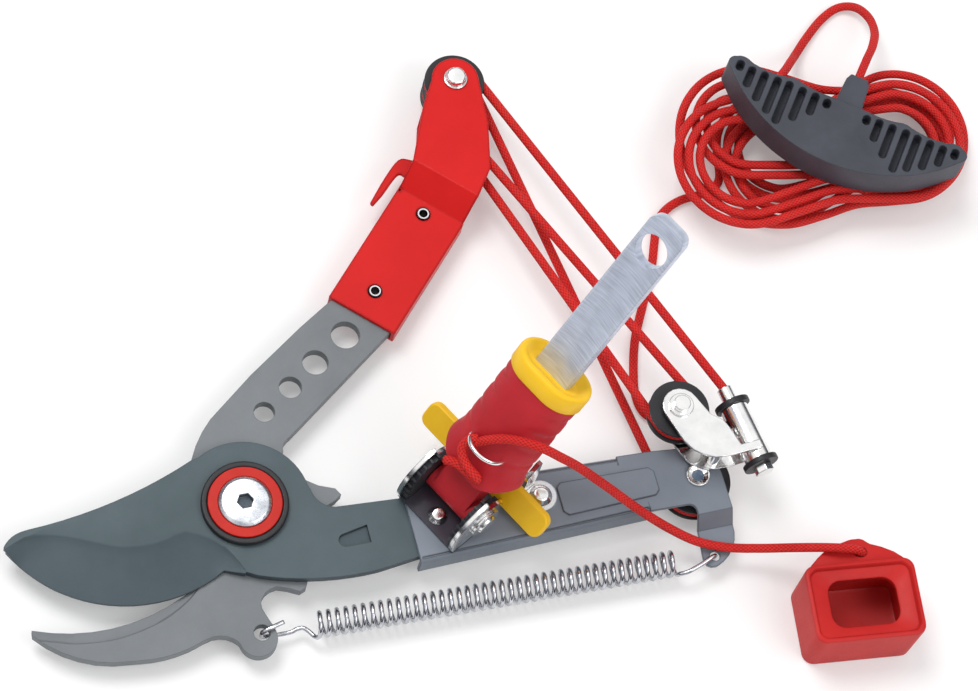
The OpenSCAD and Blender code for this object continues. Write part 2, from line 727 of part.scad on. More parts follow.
module on_barrel() {
    translate([barrel_a.x, barrel_a.y, block_mid])
        rotate([0, 90, turn_of(barrel_dir)])
            children();
}
barrel_len = norm(barrel_b - barrel_a);
barrel_bolt_r = 2.4;
module anchor_barrel() {
    color(c_chrome) on_barrel() ring([0, 0], 0, barrel_r, barrel_bolt_r + pin_fit, barrel_len);
}
module barrel_flanges() {
    color(c_black) on_barrel() {
        ring([0, 0], -2.5, barrel_flange_r, barrel_bolt_r + pin_fit, 2.5);
        ring([0, 0], barrel_len, barrel_flange_r, barrel_bolt_r + pin_fit, 2.5);
    }
}
ferrule_len = 7;
module barrel_bolt() {
    color(c_chrome) on_barrel() difference() {
        union() {
            translate([0, 0, -2.5])
                cylinder(r = barrel_bolt_r, h = barrel_len + 8);
            translate([0, 0, -2.5 - ferrule_len])
                cylinder(r = rope_r + 1.3, h = ferrule_len);
            translate([0, 0, barrel_len + 2.5])
                cylinder(r = 4.2, h = 3.4, $fn = 6);
        }
        translate([0, 0, -3 - ferrule_len])
            cylinder(r = rope_r, h = ferrule_len - 1);
    }
}

// Adapter: hinge barrel, neck, body with skirt; the collar and the tongue stand on it
module stadium(x0, x1, w, d) {
    translate([x0, -(w - d) / 2, -d / 2])
        cube([x1 - x0, w - d, d]);
    for (y = [-(w - d) / 2, (w - d) / 2])
        translate([x0, y, 0])
            rotate([0, 90, 0])
                cylinder(d = d, h = x1 - x0);
}
relief_r = ear_r + 0.5;
tongue_x0 = 34;
tongue_pins_x = [42, 54];
staple_x = 36;
staple_y = -0.8;
staple_r = 8.5;
staple_wire_r = 1;
bar_z = -17.8;
bar_t = 4;
post_r = 2;
post_y = 6;
wall_z = bar_z - slide_gap - 0.05 - 1.5;
module adapter_body() {
    color(c_red) in_adapter() difference() {
        union() {
            difference() {
                union() {
                    stadium(16, body_top, body_w, body_d);
                    stadium(16, 27, body_w + 4, body_d + 3);
                }
                rotate([90, 0, 0])
                    cylinder(r = relief_r, h = 60, center = true);
            }
            translate([0, -9.5, -6])
                cube([27, 19, 12]);
            rotate([90, 0, 0])
                cylinder(r = 6, h = 2 * barrel_half, center = true);
            translate([6, -9, wall_z])
                cube([21, 18, 1.5]);
            translate([18, -9, wall_z])
                cube([9, 18, -wall_z]);
            for (y = [-post_y, post_y])
                translate([8.3, y, wall_z])
                    cylinder(r = post_r, h = -wall_z - 5);
        }
        rotate([90, 0, 0])
            cylinder(r = hinge_r + pin_fit, h = 60, center = true);
        translate([tongue_x0, -tongue_w / 2 - pin_fit, -tongue_t / 2 - pin_fit])
            cube([body_top, tongue_w + 2 * pin_fit, tongue_t + 2 * pin_fit]);
        for (x = tongue_pins_x)
            translate([x, 0, -8])
                cylinder(r = 2.5 + pin_fit, h = 16);
        for (s = [-1, 1])
            translate([staple_x, staple_y + s * staple_r, body_d / 2 - 4])
                cylinder(r = staple_wire_r + pin_fit, h = 8);
    }
}
module adapter_collar() {
    color(c_yellow) in_adapter() difference() {
        stadium(body_top, body_top + collar_h, body_w + 1.5, body_d + 2);
        stadium(body_top + collar_h - 2.5, body_top + collar_h + 1, body_w - 6, body_d - 6);
        translate([body_top - 1, -tongue_w / 2 - pin_fit, -tongue_t / 2 - pin_fit])
            cube([collar_h + 2, tongue_w + 2 * pin_fit, tongue_t + 2 * pin_fit]);
    }
}
tip_r = 5;
tongue_hole_x = tongue_end - 14.5;
module tongue() {
    color(c_steel) in_adapter() difference() {
        union() {
            translate([tongue_x0, -tongue_w / 2, -tongue_t / 2])
                cube([tongue_end - tip_r - tongue_x0, tongue_w, tongue_t]);
            translate([tongue_end - tip_r - 1, tip_r - tongue_w / 2, -tongue_t / 2])
                cube([tip_r + 1, tongue_w - 2 * tip_r, tongue_t]);
            for (s = [-1, 1])
                translate([tongue_end - tip_r, s * (tongue_w / 2 - tip_r), -tongue_t / 2])
                    cylinder(r = tip_r, h = tongue_t);
        }
        translate([tongue_hole_x, 0, -10])
            cylinder(r = tongue_hole_r, h = 20);
        for (x = tongue_pins_x)
            translate([x, 0, -10])
                cylinder(r = 2.5 + pin_fit, h = 20);
    }
}
module tongue_pins() {
    color(c_steel) in_adapter()
        for (x = tongue_pins_x)
            translate([x, 0, -8])
                cylinder(r = 2.5, h = 16);
}
module staple() {
    color(c_chrome) in_adapter() {
        translate([staple_x, staple_y, body_d / 2])
            rotate([90, 0, 90])
                rotate_extrude(angle = 180)
                    translate([staple_r, 0])
                        circle(staple_wire_r, $fn = 24);
        for (s = [-1, 1])
            translate([staple_x, staple_y + s * staple_r, body_d / 2 - 4])
                cylinder(r = staple_wire_r, h = 4, $fn = 24);
    }
}

// Lock bar behind the hinge: its nibs go into the quadrants' notches
nib_y = quadrant_in + 0.35;
module lock_bar() {
    color(c_yellow) in_adapter() {
        difference() {
            translate([1.8, -lock_len / 2, bar_z])
                cube([13, lock_len, bar_t]);
            for (y = [-post_y, post_y])
                translate([8.3, y, bar_z - 1])
                    cylinder(r = post_r + pin_fit, h = bar_t + 2);
        }
        for (y = [-nib_y - quadrant_t + 0.7, nib_y])
            translate([3, y, bar_z + bar_t])
                cube([2, quadrant_t - 0.7, lock_travel - 0.1]);
    }
}
// Spring: an open coil with a hook at the frame's tail; the lever's hook is a piece of its own
spring_dir = (eye_at - tail_at) / norm(eye_at - tail_at);
spring_span = norm(eye_at - tail_at);
coil_x0 = 17;
coil_x1 = spring_span - 19;
coil_r = (spring_d - wire_d) / 2;
wire_r = wire_d / 2;
coil_rings = 8;
coil_points = [for (i = [0 : coil_rings * spring_turns]) let (a = 360 * i / coil_rings)
    [coil_x0 + (coil_x1 - coil_x0) * i / (coil_rings * spring_turns), coil_r * sin(a), coil_r * cos(a)]];
hook_rise = sheet_t / 2 + wire_r + 0.35;
tail_hook = [[0, 0, -3], [0, 0, hook_rise - 1.4], [0.5, 0, hook_rise - 0.4], [1.6, 0, hook_rise],
    [9, 0, hook_rise], [12, 0, hook_rise + 1], [14.6, -1.6, coil_r - 0.5]];
spring_path = concat(tail_hook, coil_points,
    [coil_points[len(coil_points) - 1] + [0.8, wire_d, 0]]);
lever_rise = lever_t / 2 + wire_r + 0.35;
lever_hook = [[coil_x1 + 2, 0, 0], [coil_x1 + 5, 0, 0.6], [coil_x1 + 8, 0, lever_rise - 1],
    [coil_x1 + 11, 0, lever_rise], [spring_span - 2.4, 0, lever_rise],
    [spring_span - 0.6, 0, lever_rise - 0.8], [spring_span, 0, lever_rise - 2.4],
    [spring_span, 0, -lever_t / 2 - 1]];
module in_spring() {
    translate([tail_at.x, tail_at.y, lever_mid])
        rotate([0, 0, turn_of(spring_dir)])
            children();
}
module return_spring() {
    color(c_chrome) in_spring() tube(spring_path, wire_r, 6);
}
module spring_hook() {
    color(c_chrome) in_spring() tube(lever_hook, wire_r, 8);
}

// Rope on the pulleys: four straight runs and the turns between them
mouth = barrel_a - (2.5 + ferrule_len) * barrel_dir;
turn_a = touch_turn(top_at, rope_turn_r, mouth, 0);
turn_c = touch_turn(top_at, rope_turn_r, eyelet_at, -frame_turn_r);
turn_d = touch_turn(top_at, -rope_turn_r, block_at, lower_turn_r);
turn_f = touch_turn(top_at, -rope_turn_r, block_at, -lower_turn_r);
function lift(p, z) = [p.x, p.y, z];
module rope_run(a, b) {
    d = unit(b - a);
    bar(a + 0.5 * d, b - 0.5 * d, rope_r);
}
module rope_turn(at, mid, r, a0, a1) {
    translate([at.x, at.y, mid])
        rotate([0, 0, a0])
            rotate_extrude(angle = a1 - a0)
                translate([r, 0])
                    circle(rope_r, $fn = 24);
}
module rope_runs() {
    color(c_red) {
        rope_run(lift(polar(top_at, rope_turn_r, turn_a), front_mid), lift(mouth, block_mid));
        rope_run(lift(polar(top_at, -rope_turn_r, turn_d), front_mid),
            lift(polar(block_at, lower_turn_r, turn_d), block_mid));
        rope_run(lift(polar(top_at, -rope_turn_r, turn_f), rear_mid),
            lift(polar(block_at, -lower_turn_r, turn_f), block_mid));
        rope_run(lift(polar(top_at, rope_turn_r, turn_c), rear_mid),
            lift(polar(eyelet_at, -frame_turn_r, turn_c), frame_mid));
    }
}
module rope_top_turns() {
    color(c_red) {
        rope_turn(top_at, front_mid, rope_turn_r, turn_a, turn_d + 180);
        rope_turn(top_at, rear_mid, rope_turn_r, turn_c, turn_f + 180);
    }
}
module rope_lower_turn() {
    color(c_red) rope_turn(block_at, block_mid, lower_turn_r, turn_f + 180, turn_d + 360);
}
module rope_frame_turn() {
    color(c_red) rope_turn(eyelet_at, frame_mid, frame_turn_r, turn_c + 180, 360);
}

// Pull cord: the lead from the frame, the hank, the loop up to the handle
cord_z = rope_r + 0.2;
hank_at = [297.5, 111.5];
hank_turn = -3;
hank_rings = 24;
function hank_waist_in(x, run) = hank_waist * pow(cos(90 * x / run), 2);
function hank_place(j, w, run) =
    j < 4 ? [-run - w * cos(22.5 * j), w * sin(22.5 * j)] :
    j < 8 ? let (x = -run + (j - 4) * run / 2) [x, w - hank_waist_in(x, run)] :
    j < 16 ? [run + w * sin(22.5 * (j - 8)), w * cos(22.5 * (j - 8))] :
    j < 20 ? let (x = run - (j - 16) * run / 2) [x, hank_waist_in(x, run) - w] :
    [-run - w * sin(22.5 * (j - 20)), -w * cos(22.5 * (j - 20))];
spiral = hank_turns * hank_rings;
layer_rings = spiral + hank_rings / 2;
hank_last = 4 * layer_rings + 4;
hank_wide = hank_inner + hank_pitch * (spiral + 8) / hank_rings;
// How each layer of loops lies: its turn, its shift along x and y, and the share of the run it takes
hank_lays = [[-4.5, 7.1, 5.8, 0.73], [11.5, 7.8, 1.9, 0.84],
    [-17.3, -2.9, 6.9, 0.91], [1.4, -5.4, -2.8, 1]];
// How far a loop is drawn in or let out as it passes to the next layer
hank_tucks = [-1, 8.5, -1];
pass_from = spiral - 2;
function eased(t) = t * t * (3 - 2 * t);
function clamped(x, low, high) = min(max(x, low), high);
function hank_ring(k) =
    let (layer = min(floor((k + 4) / layer_rings), 3), v = k - layer * layer_rings,
         climb = layer < 3 ? max(v - spiral - 4, 0) / 4 : 0,
         q = hank_pitch * ((layer < 3 ? min(v, spiral + 4) : v) + 4) / hank_rings,
         from = clamped(floor((k - pass_from) / layer_rings), 0, 2),
         t = eased(clamped((k - from * layer_rings - pass_from) / hank_rings, 0, 1)),
         lay = (1 - t) * hank_lays[from] + t * hank_lays[from + 1],
         w = (layer % 2 == 0 ? hank_wide - q : hank_inner + q) + hank_tucks[from] * 4 * t * (1 - t),
         p = hank_place(k % hank_rings, w, hank_half_run * lay[3]), a = hank_turn + lay[0])
    [p.x * cos(a) - p.y * sin(a) + hank_at.x + lay[1],
     p.x * sin(a) + p.y * cos(a) + hank_at.y + lay[2],
     cord_z + hank_step * (layer + climb)];
hank_path = [for (k = [0 : hank_last]) hank_ring(k)];
hank_in = hank_turn + hank_lays[0][0];
hank_out = hank_turn + hank_lays[3][0];
hank_in_dir = [-sin(hank_in), cos(hank_in), 0];
hank_out_dir = [cos(hank_out), sin(hank_out), 0];
hank_ends = [hank_path[0] - rope_d * hank_in_dir, hank_path[hank_last] + rope_d * hank_out_dir];
module pull_hank() {
    color(c_red) tube(concat([hank_ends[0]], hank_path, [hank_ends[1]]), rope_r, 6);
}
lead_route = [
    [eyelet_at.x + frame_turn_r, -27.9, frame_mid], [205.4, -17, 9], [203.5, -7, 7.5], [198, 1, 5.5],
    [189, 4.5, 3.6], [182.5, 10, cord_z], [181, 19, cord_z], [183.6, 31, cord_z], [188.5, 45, cord_z],
    [197, 61, cord_z], [205.5, 77, cord_z], [210, 88, cord_z], [214, 97, cord_z], [220, 102.5, cord_z],
    [228, 105.6, cord_z], [237, 106.4, cord_z], [244, 108.4, cord_z], [248.2, 113, cord_z]];
module pull_lead() {
    color(c_red) tube(spline(concat(lead_route, [hank_ends[0] - 0.5 * hank_in_dir]), 3), rope_r, 8);
}

// Handle on the hank: a bowed grip with two groups of slots and a stem for the cord
handle_at = [301.9, 117.5];
handle_turn = -36.5;
handle_z = cord_z + 3 * hank_step + rope_r + 0.4;
half = handle_len / 2;
stem_end = 20;
grip_outline = concat(
    arc3([-half + 3, -3.5], [0, -28.3], [half - 3, -3.5], 16),
    arc3([half - 1.2, -1.6], [half, 1.2], [half - 2.6, 4.2], 4),
    arc3([half - 4, 5], [half - 6, 5.4], [half - 8.5, 4.9], 2),
    arc3([half - 11, 3.9], [half - 19, 3.1], [half - 27, 4.2], 3),
    arc3([half - 29, 4.8], [half - 31, 5], [half - 33, 4.7], 2),
    arc3([half - 36, 3.9], [half - 42, 3.2], [half - 49, 3.4], 3),
    arc3([49 - half, 3.4], [42 - half, 3.2], [36 - half, 3.9], 3),
    arc3([33 - half, 4.7], [31 - half, 5], [29 - half, 4.8], 2),
    arc3([27 - half, 4.2], [19 - half, 3.1], [11 - half, 3.9], 3),
    arc3([8.5 - half, 4.9], [6 - half, 5.4], [4 - half, 5], 2),
    arc3([2.6 - half, 4.2], [-half, 1.2], [1.2 - half, -1.6], 4));
slots = [for (i = [0 : 5], s = [-1, 1]) [s * (15.3 + 6.1 * i), -21 + 5 * abs(i - 2)]];
module in_handle() {
    translate([handle_at.x, handle_at.y, handle_z])
        rotate([0, 0, handle_turn])
            children();
}
module pull_handle() {
    color(c_grey) in_handle() difference() {
        union() {
            linear_extrude(handle_t)
                polygon(grip_outline);
            translate([-5.5, 2, handle_t / 2 - 5.5])
                cube([11, stem_end - 2, 11]);
        }
        for (s = slots)
            translate([s[0] - 1.7, s[1], handle_t - 5])
                cube([3.4, 2.4 - s[1], 6]);
        translate([0, 8, handle_t / 2])
            rotate([-90, 0, 0])
                cylinder(r = rope_r + 0.3, h = 20);
    }
}
handle_dir = [-sin(handle_turn), cos(handle_turn), 0];
stem_tip = lift(handle_at, handle_z + handle_t / 2) + stem_end * handle_dir;
loop_route = concat(
    [hank_ends[1] + 0.5 * hank_out_dir, hank_ends[1] + 7 * hank_out_dir],
    [[277, 144.4, 20.1], [285.5, 149.5, 20.2], [293, 157, 14.4], [299.5, 164, 6], [308, 172.5, 3],
     [319, 182, cord_z], [329.5, 186.3, cord_z], [337.5, 181.8, 3.7], [339.8, 171, 8.5], [336.3, 159.5, 17.5],
     [326.5, 149.8, 27]],
    [stem_tip + 5.5 * handle_dir, stem_tip + 0.4 * handle_dir]);
module pull_loop() {
    color(c_red) tube(spline(loop_route, 3), rope_r, 8);
}

// Tether from the staple to the clip
function adapter_place(t, w, n) =
    let (c = cos(adapter_tilt), s = sin(adapter_tilt), x = c * t - s * n)
    [hinge_at.x + x * cos(clevis_turn) + w * sin(clevis_turn),
     hinge_at.y + x * sin(clevis_turn) - w * cos(clevis_turn), hinge_z + s * t + c * n];
face_z = body_d / 2;
clip_at = [243.7, -100.6];
clip_turn = -6.8;
function clip_place(x, y) = [clip_at.x + x * cos(clip_turn) - y * sin(clip_turn),
    clip_at.y + x * sin(clip_turn) + y * cos(clip_turn)];
lug_out = 11.3;
lug_z = 20;
cord_in = [1.6, clip_w / 2 + 5.4, lug_z + 6.5];
cord_end = [7.5, clip_w / 2 + 4, lug_z - 1.2];
tether_route = concat(
    [adapter_place(34.8, -2.8, face_z + rope_r + 0.6), adapter_place(37, -2.6, face_z + rope_r + 0.6)],
    [[100.3, -15.3, 76], [109, -21.2, 80.5], [115, -24.4, 79], [121.6, -26.7, 73], [130.6, -29.1, 63],
     [145.2, -34.2, 45], [160.6, -42.1, 29], [173.5, -49.8, 20], [184.9, -56.3, 15.4], [197.3, -61, 13.8],
     [209.4, -64.4, 14.8], [221.4, -68.9, 20.6], [229.2, -72.2, 25.2], [235.5, -74.6, 27.8],
     [241.6, -76.5, 28.6]],
    [for (c = [cord_in, cord_end]) lift(clip_place(c.x, c.y), c.z)]);
module tether_cord() {
    color(c_red) tube(spline(tether_route, 3), rope_r, 8);
}
knot_r = 4.2;
module tether_knot() {
    color(c_red) in_adapter()
        translate([29.3, 2.8, face_z + knot_r + 1])
            rotate([90, 0, 0])
                cylinder(r = knot_r, h = 8, center = true);
}
module round_box(l, w, h, r) {
    translate([-l / 2 + r, -w / 2, 0])
        cube([l - 2 * r, w, h]);
    translate([-l / 2, -w / 2 + r, 0])
        cube([l, w - 2 * r, h]);
    for (x = [-1, 1], y = [-1, 1])
        translate([x * (l / 2 - r), y * (w / 2 - r), 0])
            cylinder(r = r, h = h);
}
module cord_clip() {
    color(c_red) translate([clip_at.x, clip_at.y, 0]) rotate([0, 0, clip_turn]) difference() {
        union() {
            round_box(clip_l, clip_w, clip_h, 5);
            translate([1.5, clip_w / 2, lug_z - 5])
                linear_extrude(10)
                    polygon([[-22.5, -1], [-13, 8], [-2, lug_out], [3, lug_out], [6, 8.6], [11, 7],
                        [20.5, 1.5], [20.5, -1]]);
        }
        translate([0, 0, clip_wall])
            round_box(clip_l - 2 * clip_wall, clip_w - 2 * clip_wall, clip_h - 2 * clip_wall, 3);
        translate([0, 0, clip_h - clip_wall - 1])
            round_box(30, 21, clip_wall + 2, 6);
        bar(1.5 * cord_in - 0.5 * cord_end, 1.05 * cord_end - 0.05 * cord_in, rope_r + 0.5);
    }
}

// Least gaps of the wound pieces, between points that are not next to each other on the path
function least_gap(p, apart, d) = min([for (i = [0 : len(p) - 1 - apart], j = [i + apart : len(p) - 1])
    norm(p[i] - p[j])]) - d;
echo(hank_gap = least_gap(hank_path, 8, rope_d), coil_gap = least_gap(coil_points, 5, wire_d));

frame_channel();
blade();
pivot_bolt();
pivot_nut();
pivot_red_ring();
pivot_black_ring();
frame_eyelet();
clevis_bracket();
toothed_quadrants();
clevis_rivets();
tilt_stop();
stop_rivet();
hinge_pin();
hinge_washers();
hook_lever();
lever_sleeve();
rear_cheek();
roll_pins();
top_axle();
axle_clip();
top_sheave_front();
top_sheave_rear();
block_front_plate();
block_rear_plate();
block_spacers();
block_axle();
axle_washer();
swivel_pin();
lower_sheave();
anchor_barrel();
barrel_flanges();
barrel_bolt();
frame_sheave();
adapter_body();
adapter_collar();
tongue();
tongue_pins();
staple();
lock_bar();
return_spring();
spring_hook();
rope_runs();
rope_top_turns();
rope_lower_turn();
rope_frame_turn();
pull_lead();
pull_hank();
pull_loop();
pull_handle();
tether_cord();
tether_knot();
cord_clip();
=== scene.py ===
import json
import math
from math import cos, radians, sin
import bpy
import bmesh
from mathutils import Matrix, Vector

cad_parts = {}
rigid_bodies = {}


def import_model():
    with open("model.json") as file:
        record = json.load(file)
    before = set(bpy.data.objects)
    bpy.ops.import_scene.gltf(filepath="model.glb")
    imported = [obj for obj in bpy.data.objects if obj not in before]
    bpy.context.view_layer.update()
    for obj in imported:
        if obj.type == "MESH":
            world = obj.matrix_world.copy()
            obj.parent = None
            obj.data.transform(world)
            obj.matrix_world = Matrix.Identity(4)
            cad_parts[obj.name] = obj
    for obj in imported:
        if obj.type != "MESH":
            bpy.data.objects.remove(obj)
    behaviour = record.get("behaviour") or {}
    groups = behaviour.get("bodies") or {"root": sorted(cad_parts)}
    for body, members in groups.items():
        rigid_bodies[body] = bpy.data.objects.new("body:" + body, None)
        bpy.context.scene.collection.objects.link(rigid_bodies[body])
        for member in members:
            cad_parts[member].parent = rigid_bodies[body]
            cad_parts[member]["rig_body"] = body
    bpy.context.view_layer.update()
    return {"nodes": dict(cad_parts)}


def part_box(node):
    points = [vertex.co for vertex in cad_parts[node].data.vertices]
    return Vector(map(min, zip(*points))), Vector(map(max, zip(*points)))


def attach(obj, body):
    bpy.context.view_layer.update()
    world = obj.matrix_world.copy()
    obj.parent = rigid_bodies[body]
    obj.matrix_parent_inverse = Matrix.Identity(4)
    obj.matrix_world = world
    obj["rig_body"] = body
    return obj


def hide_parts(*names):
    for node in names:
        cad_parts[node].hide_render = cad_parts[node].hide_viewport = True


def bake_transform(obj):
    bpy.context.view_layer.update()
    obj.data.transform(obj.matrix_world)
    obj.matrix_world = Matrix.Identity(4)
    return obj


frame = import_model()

nodes = frame["nodes"]
scene = bpy.context.scene
MM = 0.001


# The camera stands where the photograph was taken from: high over the near side, a little to the left,
# with a long lens.
def added(name, data):
    """A new object in the scene."""
    thing = bpy.data.objects.new(name, data)
    scene.collection.objects.link(thing)
    return thing


scene.view_settings.view_transform = "Standard"
camera = added("camera", bpy.data.cameras.new("camera"))
camera.data.lens = 132.5
camera.data.sensor_fit = "HORIZONTAL"
camera.matrix_world = Matrix((
    (0.9545, 0.1855, -0.2335, -0.24115),
    (-0.2608, 0.8988, -0.3522, -0.49627),
    (0.1445, 0.3971, 0.9063, 1.42005),
    (0, 0, 0, 1)))
scene.camera = camera


# White table top that the head lies on, lit by one large soft lamp over its far side, a fill lamp from the near
# side and a white room, which bright metal mirrors darker low down. The table keeps the soft shadow.
def feed(value, socket):
    """Links a node's socket to another node's, or gives it a value."""
    if isinstance(value, bpy.types.NodeSocket):
        socket.id_data.links.new(value, socket)
    else:
        socket.default_value = (*value, 1) if isinstance(value, tuple) else value


def node_for(kind, *values):
    """A new node in the tree that the sockets among some values belong to."""
    return next(v for v in values if isinstance(v, bpy.types.NodeSocket)).id_data.nodes.new(kind)


def worked(operation, *values, clamp=False):
    """A sum on values and sockets."""
    node = node_for("ShaderNodeMath", *values)
    node.operation, node.use_clamp = operation, clamp
    for value, socket in zip(values, node.inputs):
        feed(value, socket)
    return node.outputs[0]


TABLE_GLOW = 0.22
table_mesh = bmesh.new()
bmesh.ops.create_circle(table_mesh, cap_ends=True, segments=96, radius=4.0)
table = added("table", bpy.data.meshes.new("table"))
table_mesh.to_mesh(table.data)
table_mesh.free()
table_white = bpy.data.materials.new("table_white")
table_white.use_nodes = True
tree = table_white.node_tree
tree.nodes.clear()
matt = tree.nodes.new("ShaderNodeBsdfDiffuse")
feed((0.97, 0.97, 0.97), matt.inputs["Color"])
shown = tree.nodes.new("ShaderNodeEmission")
path = tree.nodes.new("ShaderNodeLightPath")
seen = worked("MAXIMUM", path.outputs["Is Camera Ray"], path.outputs["Is Glossy Ray"])
mixed = tree.nodes.new("ShaderNodeMixShader")
feed(worked("MULTIPLY", seen, TABLE_GLOW), mixed.inputs["Fac"])
feed(matt.outputs[0], mixed.inputs[1])
feed(shown.outputs[0], mixed.inputs[2])
feed(mixed.outputs[0], tree.nodes.new("ShaderNodeOutputMaterial").inputs["Surface"])
table.data.materials.append(table_white)


def ranged(value, low=0.0, high=1.0, to_low=0.0, to_high=1.0):
    """A socket's value spread from one range to another."""
    node = node_for("ShaderNodeMapRange", value)
    names = "Value", "From Min", "From Max", "To Min", "To Max"
    for number, name in zip((value, low, high, to_low, to_high), names):
        feed(number, node.inputs[name])
    return node.outputs["Result"]


def colour_mix(factor, first, second, blend="MIX"):
    """A mix of two colours."""
    node = node_for("ShaderNodeMix", factor, first, second)
    node.data_type, node.blend_type = "RGBA", blend
    for value, place in ((factor, 0), (first, 6), (second, 7)):
        feed(value, node.inputs[place])
    return node.outputs[2]


def placed_at(tree, kind="Object"):
    """The coordinates of a point in a node tree: Object ones are in metres."""
    coords = tree.nodes.new("ShaderNodeTexCoord")
    split = tree.nodes.new("ShaderNodeSeparateXYZ")
    feed(coords.outputs[kind], split.inputs[0])
    return split.outputs


ROOM_FILL = 0.6
room = bpy.data.worlds.new("room")
scene.world = room
room.use_nodes = True
tree = room.node_tree
walls = tree.nodes["Background"]
bands = tree.nodes.new("ShaderNodeValToRGB")
bands.color_ramp.elements[0].position, bands.color_ramp.elements[0].color = 0.12, (0.03, 0.03, 0.035, 1)
bands.color_ramp.elements[1].position, bands.color_ramp.elements[1].color = 0.62, (1, 1, 1, 1)
middle = bands.color_ramp.elements.new(0.4)
middle.color = (0.22, 0.23, 0.26, 1)
feed(placed_at(tree, "Generated")["Z"], bands.inputs["Fac"])
path = tree.nodes.new("ShaderNodeLightPath")
mirrored = path.outputs["Is Glossy Ray"]
feed(colour_mix(mirrored, (1, 1, 1), bands.outputs["Color"]), walls.inputs["Color"])
seen = worked("MAXIMUM", path.outputs["Is Camera Ray"], mirrored)
seen = worked("MAXIMUM", seen, path.outputs["Is Transmission Ray"])
feed(ranged(seen, to_low=ROOM_FILL), walls.inputs["Strength"])


def soft_lamp(name, at, towards, size, power):
    """A round lamp that shines towards a point."""
    lamp = added(name, bpy.data.lights.new(name, "AREA"))
    lamp.data.shape = "DISK"
    lamp.data.size = size
    lamp.data.energy = power
    lamp.location = at
    lamp.rotation_euler = (Vector(towards) - Vector(at)).to_track_quat("-Z", "Y").to_euler()


soft_lamp("key_lamp", (-0.35, 0.75, 1.9), (0.12, 0.04, 0), 1.0, 20)
soft_lamp("fill_lamp", (0.9, -0.9, 1.5), (0.12, 0.04, 0), 1.2, 9)


# Blade: ground tool steel with a dull dark coating, stamped from 4 mm plate. Its cutting edge is hollow
# ground, and the grind stops in a step round the hub. Its tang is riveted under the frame.
def arc_through(a, b, c, count):
    """Points of the arc from a through b to c."""
    (ax, ay), (bx, by), (cx, cy) = a, b, c
    d = 2 * (ax * (by - cy) + bx * (cy - ay) + cx * (ay - by))
    aa, bb, cc = ax * ax + ay * ay, bx * bx + by * by, cx * cx + cy * cy
    mx = (aa * (by - cy) + bb * (cy - ay) + cc * (ay - by)) / d
    my = (aa * (cx - bx) + bb * (ax - cx) + cc * (bx - ax)) / d
    radius = math.hypot(ax - mx, ay - my)
    first = math.atan2(ay - my, ax - mx)
    left = (math.atan2(cy - my, cx - mx) - first) % math.tau
    middle = (math.atan2(by - my, bx - mx) - first) % math.tau
    sweep = left if middle < left else left - math.tau
    return [(mx + radius * cos(first + sweep * i / count), my + radius * sin(first + sweep * i / count))
            for i in range(count + 1)]


def round_points(centre, radius, angles):
    """Points round a centre, at angles in degrees."""
    return [(centre[0] + radius * cos(radians(a)), centre[1] + radius * sin(radians(a)))
            for a in angles]


def smooth_line(points, steps):
    """A smooth curve through chosen points, with some steps to each span."""
    points = [Vector(p) for p in points]
    last = len(points) - 1
    line = []
    for i in range(last):
        a, b, c, d = points[max(i - 1, 0)], points[i], points[i + 1], points[min(i + 2, last)]
        for k in range(steps):
            t = k / steps
            line.append(0.5 * (2 * b + (c - a) * t + (2 * a - 5 * b + 4 * c - d) * t * t
                               + (3 * b - a - 3 * c + d) * t ** 3))
    return line + [points[last]]


def run_along(points):
    """How far along a line each of its points lies."""
    run = [0.0]
    for a, b in zip(points[:-1], points[1:]):
        run.append(run[-1] + (Vector(b) - Vector(a)).length)
    return run


def even_line(points, count=None, spacing=None):
    """The same line with its points at equal distances."""
    points = [Vector(p) for p in points]
    run = run_along(points)
    count = count or max(2, round(run[-1] / spacing) + 1)
    line, i = [], 0
    for k in range(count):
        s = run[-1] * k / (count - 1)
        while i < len(points) - 2 and run[i + 1] < s:
            i += 1
        share = (s - run[i]) / max(run[i + 1] - run[i], 1e-9)
        line.append(points[i].lerp(points[i + 1], min(max(share, 0), 1)))
    return line


def smoothed(data, angle=40):
    """Gives a mesh smooth faces, with sharp edges where they meet at an angle."""
    data.shade_smooth()
    data.set_sharp_from_angle(angle=radians(angle))
    return data


def opened(data):
    """A bmesh from a mesh."""
    mesh = bmesh.new()
    mesh.from_mesh(data)
    return mesh


def scaled(mesh, factor):
    """The bmesh made larger or smaller."""
    bmesh.ops.scale(mesh, vec=(factor, factor, factor), verts=mesh.verts)
    return mesh


def made_piece(name, mesh, smooth_angle=40):
    """A new object from a bmesh in millimetres."""
    data = bpy.data.meshes.new(name)
    scaled(mesh, MM).to_mesh(data)
    mesh.free()
    return added(name, smoothed(data, smooth_angle))


def rounded(piece, width, segments=2, angle=35):
    """Breaks the piece's edges with a narrow round."""
    bevel = piece.modifiers.new("edge_round", "BEVEL")
    bevel.width = width * MM
    bevel.segments = segments
    bevel.limit_method = "ANGLE"
    bevel.angle_limit = radians(angle)
    bevel.harden_normals = True
    return piece


def outline_prism(points, low, high):
    """A flat plate from an outline, as a bmesh."""
    mesh = bmesh.new()
    face = mesh.faces.new([mesh.verts.new((x, y, low)) for x, y in points])
    raised = bmesh.ops.extrude_face_region(mesh, geom=[face])
    bmesh.ops.translate(mesh, vec=(0, 0, high - low),
                        verts=[v for v in raised["geom"] if isinstance(v, bmesh.types.BMVert)])
    bmesh.ops.recalc_face_normals(mesh, faces=mesh.faces)
    return mesh


def gathered(parts):
    """One bmesh from several."""
    whole = bmesh.new()
    for part in parts:
        data = bpy.data.meshes.new("part")
        part.to_mesh(data)
        part.free()
        whole.from_mesh(data)
        bpy.data.meshes.remove(data)
    return whole


